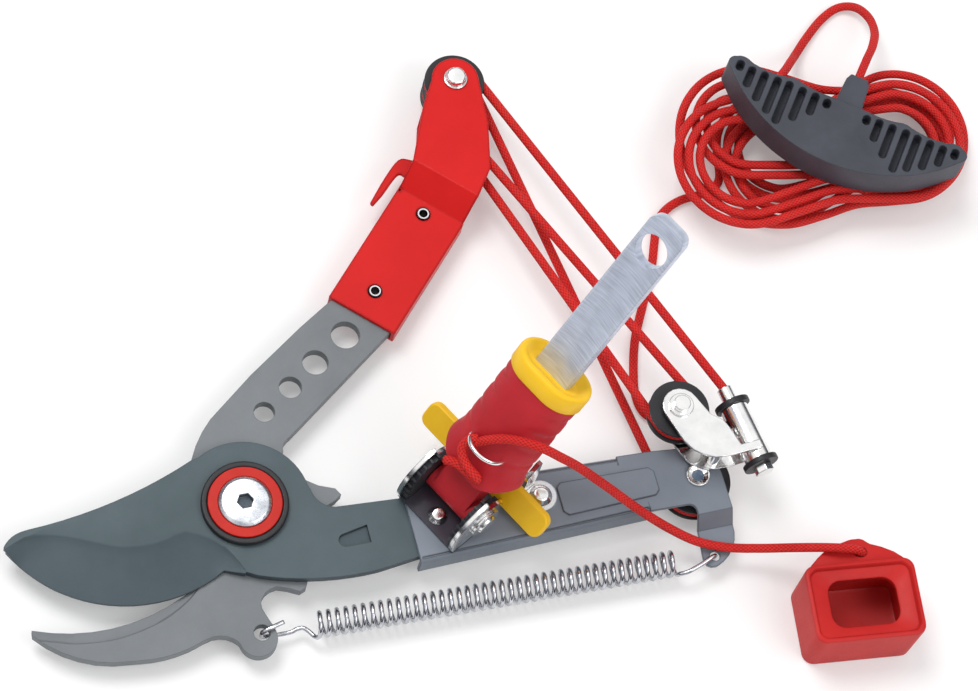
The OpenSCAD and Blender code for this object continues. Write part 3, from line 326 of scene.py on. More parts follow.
def mesh_from(thing):
    """The mesh that an object comes to, with its modifiers."""
    bpy.context.view_layer.update()
    return bpy.data.meshes.new_from_object(thing.evaluated_get(bpy.context.evaluated_depsgraph_get()))


def carved(piece, cutters):
    """Cuts the cutters' shapes, given as bmeshes in millimetres, out of a piece."""
    tool = made_piece("cutter", gathered(cutters))
    cut = piece.modifiers.new("cut", "BOOLEAN")
    cut.operation, cut.solver, cut.use_self, cut.object = "DIFFERENCE", "EXACT", True, tool
    result = mesh_from(piece)
    piece.modifiers.remove(cut)
    bpy.data.objects.remove(tool)
    cleaned = opened(result)
    bmesh.ops.remove_doubles(cleaned, verts=cleaned.verts, dist=1e-6)
    bmesh.ops.dissolve_limit(cleaned, angle_limit=radians(0.5), verts=cleaned.verts, edges=cleaned.edges)
    cleaned.to_mesh(result)
    cleaned.free()
    piece.data = smoothed(result)
    return piece


def closed(mesh):
    """The bmesh with its open ends filled and its faces turned outwards."""
    bmesh.ops.holes_fill(mesh, edges=[e for e in mesh.edges if len(e.link_faces) == 1], sides=0)
    bmesh.ops.recalc_face_normals(mesh, faces=mesh.faces)
    return mesh


def next_row(mesh, edges, row):
    """Extrudes a row of edges. Gives the new row's edges, and its points with their places in the row."""
    grown = bmesh.ops.extrude_edge_only(mesh, edges=edges)["geom"]
    fresh = [g for g in grown if isinstance(g, bmesh.types.BMVert)]
    after = {v: next(row[e.other_vert(v)] for e in v.link_edges if e.other_vert(v) in row) for v in fresh}
    return [g for g in grown if isinstance(g, bmesh.types.BMEdge) and all(v in after for v in g.verts)], after


def node_group(name, inputs, outputs):
    """An empty shader group with named number sockets, and its two ends."""
    group = bpy.data.node_groups.new(name, "ShaderNodeTree")
    for socket, value in inputs.items():
        group.interface.new_socket(socket, in_out="INPUT", socket_type="NodeSocketFloat").default_value = value
    for socket in outputs:
        group.interface.new_socket(socket, in_out="OUTPUT", socket_type="NodeSocketFloat")
    return group, group.nodes.new("NodeGroupInput"), group.nodes.new("NodeGroupOutput")


surface_grain, ends_in, ends_out = node_group(
    "surface_grain", {"Patch Scale": 40, "Grain Scale": 900}, ("Patches", "Grain"))
coords = surface_grain.nodes.new("ShaderNodeTexCoord")
for scale, result, detail in (("Patch Scale", "Patches", 5), ("Grain Scale", "Grain", 3)):
    noise = surface_grain.nodes.new("ShaderNodeTexNoise")
    feed(detail, noise.inputs["Detail"])
    feed(0.6, noise.inputs["Roughness"])
    feed(coords.outputs["Object"], noise.inputs["Vector"])
    feed(ends_in.outputs[scale], noise.inputs["Scale"])
    feed(noise.outputs["Fac"], ends_out.inputs[result])

# Painted shade: the Bevel node finds edges and creases, where the finishes darken their colour into a dark outline.
edge_shade_line, ends_in, ends_out = node_group("edge_shade_line", {"Width": 0.0008}, ("Edge",))
shape = edge_shade_line.nodes.new("ShaderNodeNewGeometry")
eased = edge_shade_line.nodes.new("ShaderNodeBevel")
eased.samples = 6
feed(ends_in.outputs["Width"], eased.inputs["Radius"])
turned = edge_shade_line.nodes.new("ShaderNodeVectorMath")
turned.operation = "DOT_PRODUCT"
feed(shape.outputs["Normal"], turned.inputs[0])
feed(eased.outputs["Normal"], turned.inputs[1])
feed(ranged(turned.outputs["Value"], 0.995, 0.88), ends_out.inputs["Edge"])


def relieved(height, strength, depth):
    """Gives the shader in a socket's tree a relief, with its depth in millimetres."""
    relief = node_for("ShaderNodeBump", height)
    for value, name in ((height, "Height"), (strength, "Strength"), (depth * MM, "Distance")):
        feed(value, relief.inputs[name])
    feed(relief.outputs["Normal"], height.id_data.nodes["Principled BSDF"].inputs["Normal"])


NOISE_SPREAD = 0.3, 0.7


def finish(name, shade, tint, rough, metallic=0.0, patch=40, grain=900, bump=0.1, depth=0.1, gloss_level=0.3,
           edge_shade=None, edge_share=0.7, edge_width=0.8):
    """A surface that varies from shade to tint in soft patches, with fine grain in its gloss and relief, and another
    colour along its edges and creases, which the finishes here use as painted shade: a dark outline."""
    material = bpy.data.materials.new(name)
    material.use_nodes = True
    tree = material.node_tree
    shader = tree.nodes["Principled BSDF"]
    feed(metallic, shader.inputs["Metallic"])
    feed(gloss_level, shader.inputs["Specular IOR Level"])
    grained = tree.nodes.new("ShaderNodeGroup")
    grained.node_tree = surface_grain
    feed(patch, grained.inputs["Patch Scale"])
    feed(grain, grained.inputs["Grain Scale"])
    shown = colour_mix(ranged(grained.outputs["Patches"], *NOISE_SPREAD), shade, tint)
    # Painted shade: a dark outline along edges and creases.
    if edge_shade:
        line = tree.nodes.new("ShaderNodeGroup")
        line.node_tree = edge_shade_line
        feed(edge_width * MM, line.inputs["Width"])
        shown = colour_mix(worked("MULTIPLY", line.outputs["Edge"], edge_share), shown, edge_shade)
    feed(shown, shader.inputs["Base Color"])
    feed(ranged(grained.outputs["Grain"], *NOISE_SPREAD, *rough), shader.inputs["Roughness"])
    relieved(grained.outputs["Grain"], bump, depth)
    return material


BLADE_LOW, BLADE_TOP, HUB_R, FULL_GRIND = 12.8, 16.8, 28.3, 12
POCKET_AT, POCKET_R, POCKET_D = (37.6, -24.2), 2.9, 1.4
blade_spine = (arc_through((-101.5, 2.5), (-97, 6.4), (-92, 7.8), 6)
               + arc_through((-90, 8), (-54.4, 12.3), (-17.1, 24), 10)
               + round_points((0, 0), HUB_R, range(119, 4, -6))
               + arc_through((28.8, 1), (31, -5), (37, -8.9), 6)
               + [(66, -11), (130, -14.136), (130, -36.94), (66, -37.9)]
               + arc_through((48, -39.9), (20, -37.8), (-6.9, -29.6), 10))
cutting_edge = ([(-6.9, -29.6), (-10.9, -27.9)]
                + arc_through((-15, -26), (-48, -33.3), (-82.9, -20.6), 14)
                + arc_through((-85, -19), (-95, -8.5), (-101, 0.8), 7))
grind_line = even_line(smooth_line([(-6.2, -29.2), (-8.2, -24), (-12.7, -15.8), (-19.8, -8.9), (-27.6, -4.9)], 6)
                       + smooth_line([(-28, -4.95), (-33.5, -6.9), (-40, -8), (-53, -7), (-66, -1.4), (-78, 3.6),
                                      (-90, 5.4), (-100.9, 1.6)], 6), count=len(cutting_edge))
mesh = bmesh.new()
row = {mesh.verts.new((p.x, p.y, BLADE_TOP)): i for i, p in enumerate(grind_line)}
mesh.faces.new([mesh.verts.new((x, y, BLADE_TOP)) for x, y in blade_spine[:-1]] + list(row))
strip = [e for e in mesh.edges if all(v in row for v in e.verts)]
for share, fall in ((0.05, 0.5), (0.22, 1.15), (0.46, 1.9), (0.73, 2.5), (1.0, 2.95)):
    strip, row = next_row(mesh, strip, row)
    for vert, i in row.items():
        start, end = Vector(grind_line[i]), Vector(cutting_edge[i])
        depth = fall * min(1.0, (end - start).length / FULL_GRIND)
        vert.co = (*start.lerp(end, share), BLADE_TOP - depth)
rim = [e for e in mesh.edges if len(e.link_faces) == 1]
for vert in bmesh.ops.extrude_edge_only(mesh, edges=rim)["geom"]:
    if isinstance(vert, bmesh.types.BMVert):
        vert.co.z = BLADE_LOW
bmesh.ops.remove_doubles(closed(mesh), verts=mesh.verts, dist=0.01)
blade = made_piece("blade_ground", mesh, 30)
pocket = round_points(POCKET_AT, POCKET_R, range(90, 271, 20)) + [(48, -27.3), (48, -19.4)]
carved(blade, [outline_prism(pocket, BLADE_TOP - POCKET_D, BLADE_TOP + 1)])
rounded(blade, 0.3)


def shaded_part(material, mask, colour, blend="MIX"):
    """Gives the part of a finish that the mask covers another colour, which isn't metal unless it only tints."""
    tree = material.node_tree
    shader = tree.nodes["Principled BSDF"]
    base = shader.inputs["Base Color"]
    feed(colour_mix(mask, base.links[0].from_socket, colour, blend), base)
    if blend == "MIX":
        feed(worked("SUBTRACT", 1, mask), shader.inputs["Metallic"])


def far_from(tree, centre):
    """How far a point lies from an upright axis, in metres."""
    squares = [worked("POWER", worked("SUBTRACT", a, c), 2) for a, c in zip(placed_at(tree), centre)]
    return worked("SQRT", worked("ADD", *squares))


blade_steel = finish(
    "blade_steel", (0.060, 0.086, 0.096), (0.080, 0.109, 0.122), (0.44, 0.58), metallic=0.15, patch=34, grain=1600,
    bump=0.08, edge_shade=(0.015, 0.017, 0.022), edge_share=0.6, edge_width=0.6)
# Painted shade: the hollow grind, below the blade's top face, is darkened for the shade in the hollow.
GRIND_TOP, GRIND_FADE = (BLADE_TOP - 0.12) * MM, 0.0004
tree = blade_steel.node_tree
below = worked("SUBTRACT", GRIND_TOP, placed_at(tree)[2])
shaded_part(blade_steel, worked("DIVIDE", below, GRIND_FADE, clamp=True), (0.72, 0.75, 0.78), "MULTIPLY")
blade.data.materials.append(blade_steel)
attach(blade, "frame")
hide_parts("blade")


# Hook lever: 5 mm steel plate, shot blasted, in one piece from the hook jaw over the hub to the arm. A
# sharpened strip runs along the hook's upper edge, with a groove behind it. It turns on the pivot bolt.
def merged_copy(node, name):
    """A piece made from a copy of a CAD solid, with its loose triangles joined into flat faces."""
    mesh = opened(nodes[node].data)
    bmesh.ops.remove_doubles(mesh, verts=mesh.verts, dist=2e-6)
    bmesh.ops.dissolve_limit(mesh, angle_limit=radians(0.8), verts=mesh.verts, edges=mesh.edges)
    return made_piece(name, scaled(mesh, 1 / MM))


def fitted(piece, node, material):
    """Gives a piece its finish, and puts it in the place of its CAD solid."""
    piece.data.materials.clear()
    piece.data.materials.append(material)
    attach(piece, nodes[node]["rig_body"])
    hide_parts(node)


def lofted(rows):
    """A closed skin through rings of points that have equal counts, each ring extruded from the last one."""
    mesh = bmesh.new()
    verts = [mesh.verts.new(p) for p in rows[0]]
    row = {v: i for i, v in enumerate(verts)}
    edges = [mesh.edges.new(pair) for pair in zip(verts, verts[1:] + verts[:1])]
    for points in rows[1:]:
        edges, row = next_row(mesh, edges, row)
        for vert, i in row.items():
            vert.co = points[i]
    return closed(mesh)


LEVER_TOP, STRIP_DROP, GROOVE_DROP = 12.5, 0.7, 2.2
hook_line = smooth_line([(-99.5, -37.4), (-90, -40.6), (-79.7, -43.6), (-63.3, -44.8), (-45.7, -41.6),
                         (-33, -35.6), (-24, -28.6), (-14, -23)], 5)
hook_rim = smooth_line([(-99.5, -29), (-90, -31), (-79.7, -33), (-63.3, -34), (-45.7, -31), (-33, -26),
                        (-24, -21), (-14, -16)], 5)
strip_cut = lofted([[(*a.xy, LEVER_TOP + 2), (*a.xy, LEVER_TOP - STRIP_DROP),
                     (*a.lerp(b, 0.08).xy, LEVER_TOP - STRIP_DROP / 2), (*b.xy, LEVER_TOP - GROOVE_DROP),
                     (*b.xy, LEVER_TOP + 2)] for a, b in zip(hook_line, hook_rim)])
blasted_steel = finish(
    "blasted_steel", (0.168, 0.182, 0.194), (0.205, 0.221, 0.235), (0.5, 0.66), metallic=0.15, patch=30, grain=2600,
    bump=0.35, depth=0.12, edge_shade=(0.05, 0.05, 0.055), edge_share=0.6, edge_width=0.6)
hook = carved(merged_copy("hook_lever", "hook_lever_blasted"), [strip_cut])
fitted(rounded(hook, 0.35), "hook_lever", blasted_steel)


# Pivot: a bright bolt with a hex socket through the hub, a red plastic ring and a black one round its head, and
# a closed nut below.
def trimmed(node, material, width, segments=2):
    """A piece in its CAD solid's own shape, with its edges broken."""
    fitted(rounded(merged_copy(node, node + "_trimmed"), width, segments), node, material)


bright_steel = finish(
    "bright_steel", (0.80, 0.80, 0.80), (0.95, 0.945, 0.935), (0.12, 0.24), metallic=1.0, patch=120, grain=1500,
    bump=0.02, gloss_level=0.5, edge_shade=(0.06, 0.065, 0.08), edge_share=0.75, edge_width=0.9)
satin_steel = finish(
    "satin_steel", (0.58, 0.60, 0.64), (0.72, 0.74, 0.78), (0.28, 0.42), metallic=1.0, patch=150, grain=1800,
    bump=0.05, gloss_level=0.5)
ring_red = finish(
    "ring_red", (0.48, 0.014, 0.008), (0.56, 0.020, 0.011), (0.4, 0.5), patch=90, grain=1400, bump=0.05,
    gloss_level=0.25)
black_plastic = finish(
    "black_plastic", (0.010, 0.010, 0.012), (0.022, 0.022, 0.026), (0.35, 0.5), patch=80, grain=1400,
    gloss_level=0.35)
# Painted shade: the hex socket, sunk below the bolt's top, is painted dark blue-grey and not metal, for the shade in
# the recess.
SOCKET_R, SOCKET_LIP = 0.0048, 0.0006
bolt_steel = finish(
    "bolt_steel", (0.40, 0.43, 0.48), (0.86, 0.88, 0.92), (0.22, 0.36), metallic=1.0, patch=170, grain=1800,
    bump=0.05, gloss_level=0.5, edge_shade=(0.10, 0.11, 0.13), edge_width=0.6)
tree = bolt_steel.node_tree
below = worked("LESS_THAN", placed_at(tree)[2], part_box("pivot_bolt")[1][2] - SOCKET_LIP)
socket = worked("MULTIPLY", worked("LESS_THAN", far_from(tree, (0, 0)), SOCKET_R), below)
shaded_part(bolt_steel, socket, (0.075, 0.10, 0.125))
trimmed("pivot_bolt", bolt_steel, 0.4)
trimmed("pivot_nut", satin_steel, 0.4)
trimmed("pivot_red_ring", ring_red, 0.5, 3)
trimmed("pivot_black_ring", black_plastic, 0.9, 3)


# Frame: a pressed sheet steel channel with a raised panel and a shallow crease along each fold, painted dark
# blue-grey. Its end plate carries the eyelet, and its tail is stepped down to the spring.
def finish_copy(material, name):
    """The same finish under a name of its own."""
    material = material.copy()
    material.name = name
    return material


frame_paint = finish(
    "frame_paint", (0.170, 0.196, 0.232), (0.222, 0.252, 0.297), (0.42, 0.54), metallic=0.1, patch=22, grain=1100,
    bump=0.06, edge_shade=(0.018, 0.018, 0.024), edge_share=0.8, edge_width=0.9)
FRAME_TOP, CREASE_HALF, CREASE_D = 18.4, 0.35, 0.75
creases = []
for (x0, y0), (x1, y1) in (((67, -39.2), (167.4, -37.7)), ((67, -9.7), (159.4, -14.3))):
    creases.append(outline_prism(
        [(x0, y0 - CREASE_HALF), (x1, y1 - CREASE_HALF), (x1, y1 + CREASE_HALF), (x0, y0 + CREASE_HALF)],
        FRAME_TOP - CREASE_D, FRAME_TOP + 2))
frame_steel = carved(merged_copy("frame_channel", "frame_channel_pressed"), creases)
fitted(rounded(frame_steel, 0.3), "frame_channel", frame_paint)
# Painted shade: the eyelet's bore is painted dark blue and not metal, for the shade in the hole.
EYELET_AT, EYELET_BORE = (0.1923, -0.0283), 0.0026
eyelet_steel = finish_copy(bright_steel, "eyelet_steel")
tree = eyelet_steel.node_tree
shaded_part(eyelet_steel, worked("LESS_THAN", far_from(tree, EYELET_AT), EYELET_BORE), (0.11, 0.16, 0.24))
trimmed("frame_eyelet", eyelet_steel, 0.3)

# Clevis: a chromed steel bracket with two round ears, riveted to the frame. Toothed plates lie inside the
# ears, and the hinge pin goes through them. A stop behind them limits the tilt.
tooth_grey = finish(
    "tooth_grey", (0.028, 0.030, 0.036), (0.055, 0.058, 0.066), (0.4, 0.55), metallic=0.3, patch=60, grain=1500)
# Painted shade: the chromed bracket's floor between the ears, below FLOOR_TOP, is painted near black and not metal,
# for the shade and dark reflection there.
FLOOR_TOP = 0.0209
bracket_steel = finish_copy(bright_steel, "bracket_steel")
tree = bracket_steel.node_tree
shaded_part(bracket_steel, worked("LESS_THAN", placed_at(tree)[2], FLOOR_TOP), (0.045, 0.042, 0.058))
trimmed("clevis_bracket", bracket_steel, 0.4)
for node, width in (("clevis_rivets", 0.5), ("tilt_stop", 0.35), ("stop_rivet", 0.5),
                    ("hinge_pin", 0.35), ("hinge_washers", 0.25)):
    trimmed(node, bright_steel, width)
trimmed("toothed_quadrants", tooth_grey, 0.2)

# Sleeve: red enamelled sheet, 2 mm thick, folded into a box round the lever's arm, stepped up at its end into
# the cheek that carries the top axle, with a hooked tab on its side. Black roll pins hold it on the arm.
SLEEVE_AT, SLEEVE_TURN, SLEEVE_LEN, SLEEVE_HALF, SHEET = (70.4, 74.9), radians(46), 62, 16.45, 2
SLEEVE_LOW, SLEEVE_TOP, CHEEK_TOP, RAMP_END = 5.5, 14.5, 24.5, 72.5
TOP_AT, CHEEK_R, PIN_HOLE_R, AXLE_HOLE_R = (137.5, 173), 10.5, 3.0, 3.6


def on_sleeve(s, t, z):
    """A point on the sleeve from its length, side and height."""
    c, k = cos(SLEEVE_TURN), sin(SLEEVE_TURN)
    return Vector((SLEEVE_AT[0] + s * c - t * k, SLEEVE_AT[1] + s * k + t * c, z))


mesh = bmesh.new()
rims = [[mesh.verts.new(on_sleeve(s, t, z))
         for t, z in ((SLEEVE_HALF, SLEEVE_TOP), (-SLEEVE_HALF, SLEEVE_TOP),
                      (-SLEEVE_HALF, SLEEVE_LOW), (SLEEVE_HALF, SLEEVE_LOW))]
        for s in (0, SLEEVE_LEN)]
for i in range(4):
    mesh.faces.new((rims[0][i], rims[0][(i + 1) % 4], rims[1][(i + 1) % 4], rims[1][i]))
step = [mesh.verts.new(on_sleeve(RAMP_END, t, CHEEK_TOP)) for t in (SLEEVE_HALF, -SLEEVE_HALF)]
mesh.faces.new((rims[1][0], rims[1][1], step[1], step[0]))
cheek = [(119.5, 162)] + round_points(TOP_AT, CHEEK_R, range(168, -9, -8)) + [(146.5, 150), (141.6, 128)]
mesh.faces.new([step[1]] + [mesh.verts.new((x, y, CHEEK_TOP)) for x, y in reversed(cheek)] + [step[0]])
bmesh.ops.recalc_face_normals(mesh, faces=mesh.faces)
if next(f for f in mesh.faces if len(f.verts) > 4).normal.z < 0:
    bmesh.ops.reverse_faces(mesh, faces=mesh.faces)
bmesh.ops.solidify(mesh, geom=mesh.faces[:], thickness=SHEET)
sleeve = made_piece("sleeve_folded", mesh)
pin_spots = [on_sleeve(13, 0.7, 0), on_sleeve(56.6, 1, 0)]


def round_bar(at, radius, low, high, sides=32):
    """An upright cylinder."""
    mesh = bmesh.new()
    bmesh.ops.create_cone(mesh, cap_ends=True, segments=sides, radius1=radius, radius2=radius, depth=high - low)
    bmesh.ops.translate(mesh, vec=(at[0], at[1], (low + high) / 2), verts=mesh.verts)
    return mesh


carved(sleeve, [round_bar(at, PIN_HOLE_R, 0, 40) for at in pin_spots] + [round_bar(TOP_AT, AXLE_HOLE_R, 15, 40)])
TAB_END = 78
tab = smooth_line([(TAB_END, 12), (76.6, 19), (73.7, 23.2), (62.9, 24), (48.6, 23.4)], 4) + smooth_line(
    [(48.2, 21.6), (55.5, 20.6), (66, 20.0), (68.2, 18), (66, 12)], 4)
hook_tab = outline_prism([on_sleeve(*p.xy, 0).xy for p in tab], SLEEVE_TOP - SHEET, SLEEVE_TOP)
side = outline_prism(
    [on_sleeve(s, t, 0).xy for s, t in ((SLEEVE_LEN - 2, SLEEVE_HALF - SHEET), (TAB_END, SLEEVE_HALF - SHEET),
                                        (TAB_END, SLEEVE_HALF), (SLEEVE_LEN - 2, SLEEVE_HALF))],
    SLEEVE_LOW, SLEEVE_TOP)


def joined(piece, parts):
    """Adds parts, given as bmeshes in millimetres, to a piece's mesh."""
    whole = gathered([opened(piece.data)] + [scaled(part, MM) for part in parts])
    whole.to_mesh(piece.data)
    whole.free()
    smoothed(piece.data)


joined(sleeve, [hook_tab, side])
red_enamel = finish(
    "red_enamel", (0.58, 0.008, 0.008), (0.66, 0.012, 0.011), (0.28, 0.4), patch=26, bump=0.03,
    gloss_level=0.2, edge_shade=(0.16, 0.003, 0.004), edge_share=0.9, edge_width=1.8)
fitted(rounded(sleeve, 0.9, 3), "lever_sleeve", red_enamel)
trimmed("rear_cheek", red_enamel, 0.5)
# Painted highlight: a thin bright ring round each roll pin's bore, for the light that its inner rim catches.
PIN_R, RING_AT, RING_W = 0.003, 0.0022, 0.0003
pin_black = finish_copy(black_plastic, "pin_black")
tree, (low, high), rim_highlights = pin_black.node_tree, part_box("roll_pins"), []
for centre in ((low[0] + PIN_R, low[1] + PIN_R), (high[0] - PIN_R, high[1] - PIN_R)):
    off = worked("SUBTRACT", far_from(tree, centre), RING_AT)
    rim_highlights.append(worked("LESS_THAN", worked("ABSOLUTE", off), RING_W))
shaded_part(pin_black, worked("MAXIMUM", *rim_highlights), (0.72, 0.73, 0.76))
trimmed("roll_pins", pin_black, 0.2)
trimmed("top_axle", bright_steel, 0.4)
trimmed("axle_clip", bright_steel, 0.2)

# Sheaves: black nylon rope wheels. Two turn on the sleeve's top axle, one in the lower block and one on the eyelet
# under the frame's end.
for node in ("top_sheave_front", "top_sheave_rear", "lower_sheave", "frame_sheave"):
    trimmed(node, black_plastic, 0.2)

# Lower block: two bright steel plates with spacers, an axle with a washer, and a barrel with black end
# flanges that holds the rope's end. It swings on a pin in the frame's end plate.
for node, width in (("block_front_plate", 0.35), ("block_rear_plate", 0.3), ("block_spacers", 0.2),
                    ("block_axle", 0.4), ("axle_washer", 0.25), ("swivel_pin", 0.2), ("anchor_barrel", 0.3),
                    ("barrel_bolt", 0.3)):
    trimmed(node, bright_steel, width)
trimmed("barrel_flanges", black_plastic, 0.4)

# Pole adapter: a red moulded body that tilts on the hinge pin, with finger notches down its sides, a rounded
# apron at its foot and a barrel round the pin.
ADAPTER = (Matrix.Translation((86, -17.5, 28.3)) @ Matrix.Rotation(radians(28), 4, "Z")
           @ Matrix.Rotation(radians(-56), 4, "Y"))


def stadium_ring(x, width, depth, count=56):
    """A ring round the adapter's axis with flat front and back and rounded sides."""
    flat = (width - depth) / 2
    ring = []
    for i in range(count):
        a = math.tau * (i + 0.5) / count
        y, z = cos(a) * depth / 2, sin(a) * depth / 2
        ring.append(Vector((x, y + math.copysign(flat, y), z)))
    return ring


def body_box(x0, x1, y0, y1, z0, z1):
    """A box between two corners."""
    mesh = bmesh.new()
    bmesh.ops.create_cube(mesh, size=1)
    bmesh.ops.scale(mesh, vec=(x1 - x0, y1 - y0, z1 - z0), verts=mesh.verts)
    bmesh.ops.translate(mesh, vec=((x0 + x1) / 2, (y0 + y1) / 2, (z0 + z1) / 2), verts=mesh.verts)
    return mesh


def placed(mesh, matrix):
    """The bmesh moved into its place."""
    bmesh.ops.transform(mesh, matrix=matrix, verts=mesh.verts)
    return mesh


def soft_step(t):
    """Goes from 0 to 1 with soft ends."""
    return t * t * (3 - 2 * t)


BODY_FOOT, BODY_TOP, BODY_ROWS, BODY_W, BODY_T = 16.4, 71, 56, 35, 24
FLARE_LEN, FLARE_W, FLARE_T = 15, 3.6, 2.4
NOTCHES, NOTCH_HALF, NOTCH_D = (36, 45.5, 55, 64), 1.5, 1.5
APRON_LEN, APRON_HALF, APRON_RISE = 24, 19, 7.5
rows = []
for k in range(BODY_ROWS + 1):
    x = BODY_FOOT + (BODY_TOP - BODY_FOOT) * k / BODY_ROWS
    flare = soft_step(max(0.0, 1 - (x - BODY_FOOT) / FLARE_LEN))
    notch = sum(math.exp(-((x - at) / NOTCH_HALF) ** 2) for at in NOTCHES)
    ring = stadium_ring(x, BODY_W + FLARE_W * flare - NOTCH_D * notch, BODY_T + FLARE_T * flare)
    lift = max(0.0, 1 - (x - BODY_FOOT) / APRON_LEN)
    for p in ring:
        p.x += APRON_RISE * lift * (abs(p.y) / APRON_HALF) ** 2.2
    rows.append(ring)
body = made_piece("adapter_moulded", placed(lofted(rows), ADAPTER), 50)
barrel = placed(round_bar((0, 0), 6, -12.2, 12.2, 40), Matrix.Rotation(radians(90), 4, "X"))
joined(body, [placed(part, ADAPTER) for part in (
    barrel, body_box(0, 27, -9.5, 9.5, -6, 6), body_box(6, 27, -9, 9, -19.65, -18.15),
    body_box(18, 27, -9, 9, -19.65, 0))])
red_moulding = finish(
    "red_moulding", (0.42, 0.016, 0.024), (0.55, 0.022, 0.032), (0.38, 0.52), patch=30, grain=1300, bump=0.12,
    gloss_level=0.2, edge_shade=(0.16, 0.004, 0.010), edge_share=0.5)
fitted(rounded(body, 0.5, 2, 50), "adapter_body", red_moulding)

# Collar: a yellow moulded ring pressed over the adapter body's end. Its mouth is sunk round the tongue, and its
# rims are rounded.
COLLAR_TOP = 79.5
rows = [stadium_ring(*ring) for ring in (
    (BODY_TOP, 35.6, 25.1), (BODY_TOP + 0.5, 36.5, 26), (COLLAR_TOP - 1.6, 36.5, 26),
    (COLLAR_TOP - 0.5, 35.9, 25.4), (COLLAR_TOP, 34.6, 24.1), (COLLAR_TOP, 32, 20.6),
    (COLLAR_TOP - 0.5, 30.6, 19), (COLLAR_TOP - 2.4, 26.4, 12.4), (COLLAR_TOP - 2.5, 24, 10))]
yellow_moulding = finish(
    "yellow_moulding", (0.88, 0.51, 0.012), (0.95, 0.58, 0.020), (0.36, 0.48), patch=35, grain=1300, bump=0.08)
collar = made_piece("collar_moulded", placed(lofted(rows), ADAPTER), 60)
fitted(collar, "adapter_collar", yellow_moulding)


# Tongue: a ground steel bar that goes into the pole, with a hole near its rounded end. The grinding left fine
# bowed strokes across it. Two pins hold it in the body.
def in_metres(matrix):
    """The same move for a mesh in metres."""
    move = matrix.copy()
    move.translation *= MM
    return move


TONGUE_FOOT, TONGUE_END, TONGUE_HALF, TONGUE_T, TIP_R = 34, 166, 9.2, 6, 5
HOLE_AT, HOLE_R, EDGE_BREAK = TONGUE_END - 14.5, 7, 0.9
outline = [(TONGUE_FOOT, -TONGUE_HALF)]
for turn, side in ((-90, -1), (0, 1)):
    outline += round_points((TONGUE_END - TIP_R, side * (TONGUE_HALF - TIP_R)), TIP_R, range(turn, turn + 91, 10))
outline.append((TONGUE_FOOT, TONGUE_HALF))
tongue = made_piece("tongue_ground", outline_prism(outline, -TONGUE_T / 2, TONGUE_T / 2))
carved(tongue, [round_bar((HOLE_AT, 0), HOLE_R, -10, 10, 48)])
mesh = opened(tongue.data)
edges = [e for e in mesh.edges if len(e.link_faces) == 2 and e.calc_face_angle() > 0.9]
bmesh.ops.bevel(mesh, geom=edges, offset=EDGE_BREAK * MM, affect="EDGES", segments=2, profile=0.5, material=-1,
                offset_type="OFFSET", clamp_overlap=True)
laid = mesh.loops.layers.uv.new("UVMap")
for face in mesh.faces:
    for loop in face.loops:
        loop[laid].uv = loop.vert.co.xy
placed(mesh, in_metres(ADAPTER)).to_mesh(tongue.data)
mesh.free()
smoothed(tongue.data, 30)
tongue_steel = finish(
    "tongue_steel", (0.53, 0.575, 0.69), (0.63, 0.685, 0.81), (0.32, 0.44), metallic=0.4, grain=1800,
    bump=0.05, gloss_level=0.4, edge_shade=(0.16, 0.17, 0.2), edge_share=0.6, edge_width=0.7)
STROKE_BOW, STROKES_ALONG, STROKES_ACROSS, STROKE_TONES, STROKE_SHARE = 14, 1500, 90, (0.62, 1.25), 0.55
tree = tongue_steel.node_tree
along, across, _ = placed_at(tree, "UV")
bowed = worked("ADD", along, worked("MULTIPLY", worked("POWER", across, 2), STROKE_BOW))
stroke = tree.nodes.new("ShaderNodeCombineXYZ")
feed(worked("MULTIPLY", bowed, STROKES_ALONG), stroke.inputs["X"])
feed(worked("MULTIPLY", across, STROKES_ACROSS), stroke.inputs["Y"])
grind = tree.nodes.new("ShaderNodeTexNoise")
feed(1.0, grind.inputs["Scale"])
feed(3, grind.inputs["Detail"])
feed(stroke.outputs[0], grind.inputs["Vector"])
streak = ranged(grind.outputs["Fac"], *NOISE_SPREAD, *STROKE_TONES)
shaded_part(tongue_steel, STROKE_SHARE, streak, "MULTIPLY")
fitted(tongue, "tongue", tongue_steel)
trimmed("tongue_pins", satin_steel, 0.2)


# Staple and lock bar: a bright wire loop in the body's face takes the tether, and a yellow moulded bar behind
# the body locks the tilt with two nibs. It has a thumb tab at each end.
def rounded_outline(length, width, radius, steps=6):
    """A rectangle with round corners."""
    points = []
    for sx, sy, turn in ((1, 1, 0), (-1, 1, 90), (-1, -1, 180), (1, -1, 270)):
        points += round_points((sx * (length / 2 - radius), sy * (width / 2 - radius)), radius,
                               [turn + 90 * i / steps for i in range(steps + 1)])
    return points


trimmed("staple", bright_steel, 0)
BAR_AT, BAR_W, BAR_LEN, BAR_R, BAR_LOW, BAR_TOP, NIB_AT, NIB_HALF = 8.3, 13, 72, 4.2, -17.8, -13.8, 13.9, 0.85
bar_outline = [(BAR_AT + x, y) for x, y in rounded_outline(BAR_W, BAR_LEN, BAR_R)]
bar = made_piece("lock_bar_moulded", placed(outline_prism(bar_outline, BAR_LOW, BAR_TOP), ADAPTER))
joined(bar, [placed(body_box(3, 5, y - NIB_HALF, y + NIB_HALF, BAR_TOP - 0.1, -11.4), ADAPTER)
             for y in (-NIB_AT, NIB_AT)])
fitted(rounded(bar, 1.1, 3), "lock_bar", yellow_moulding)


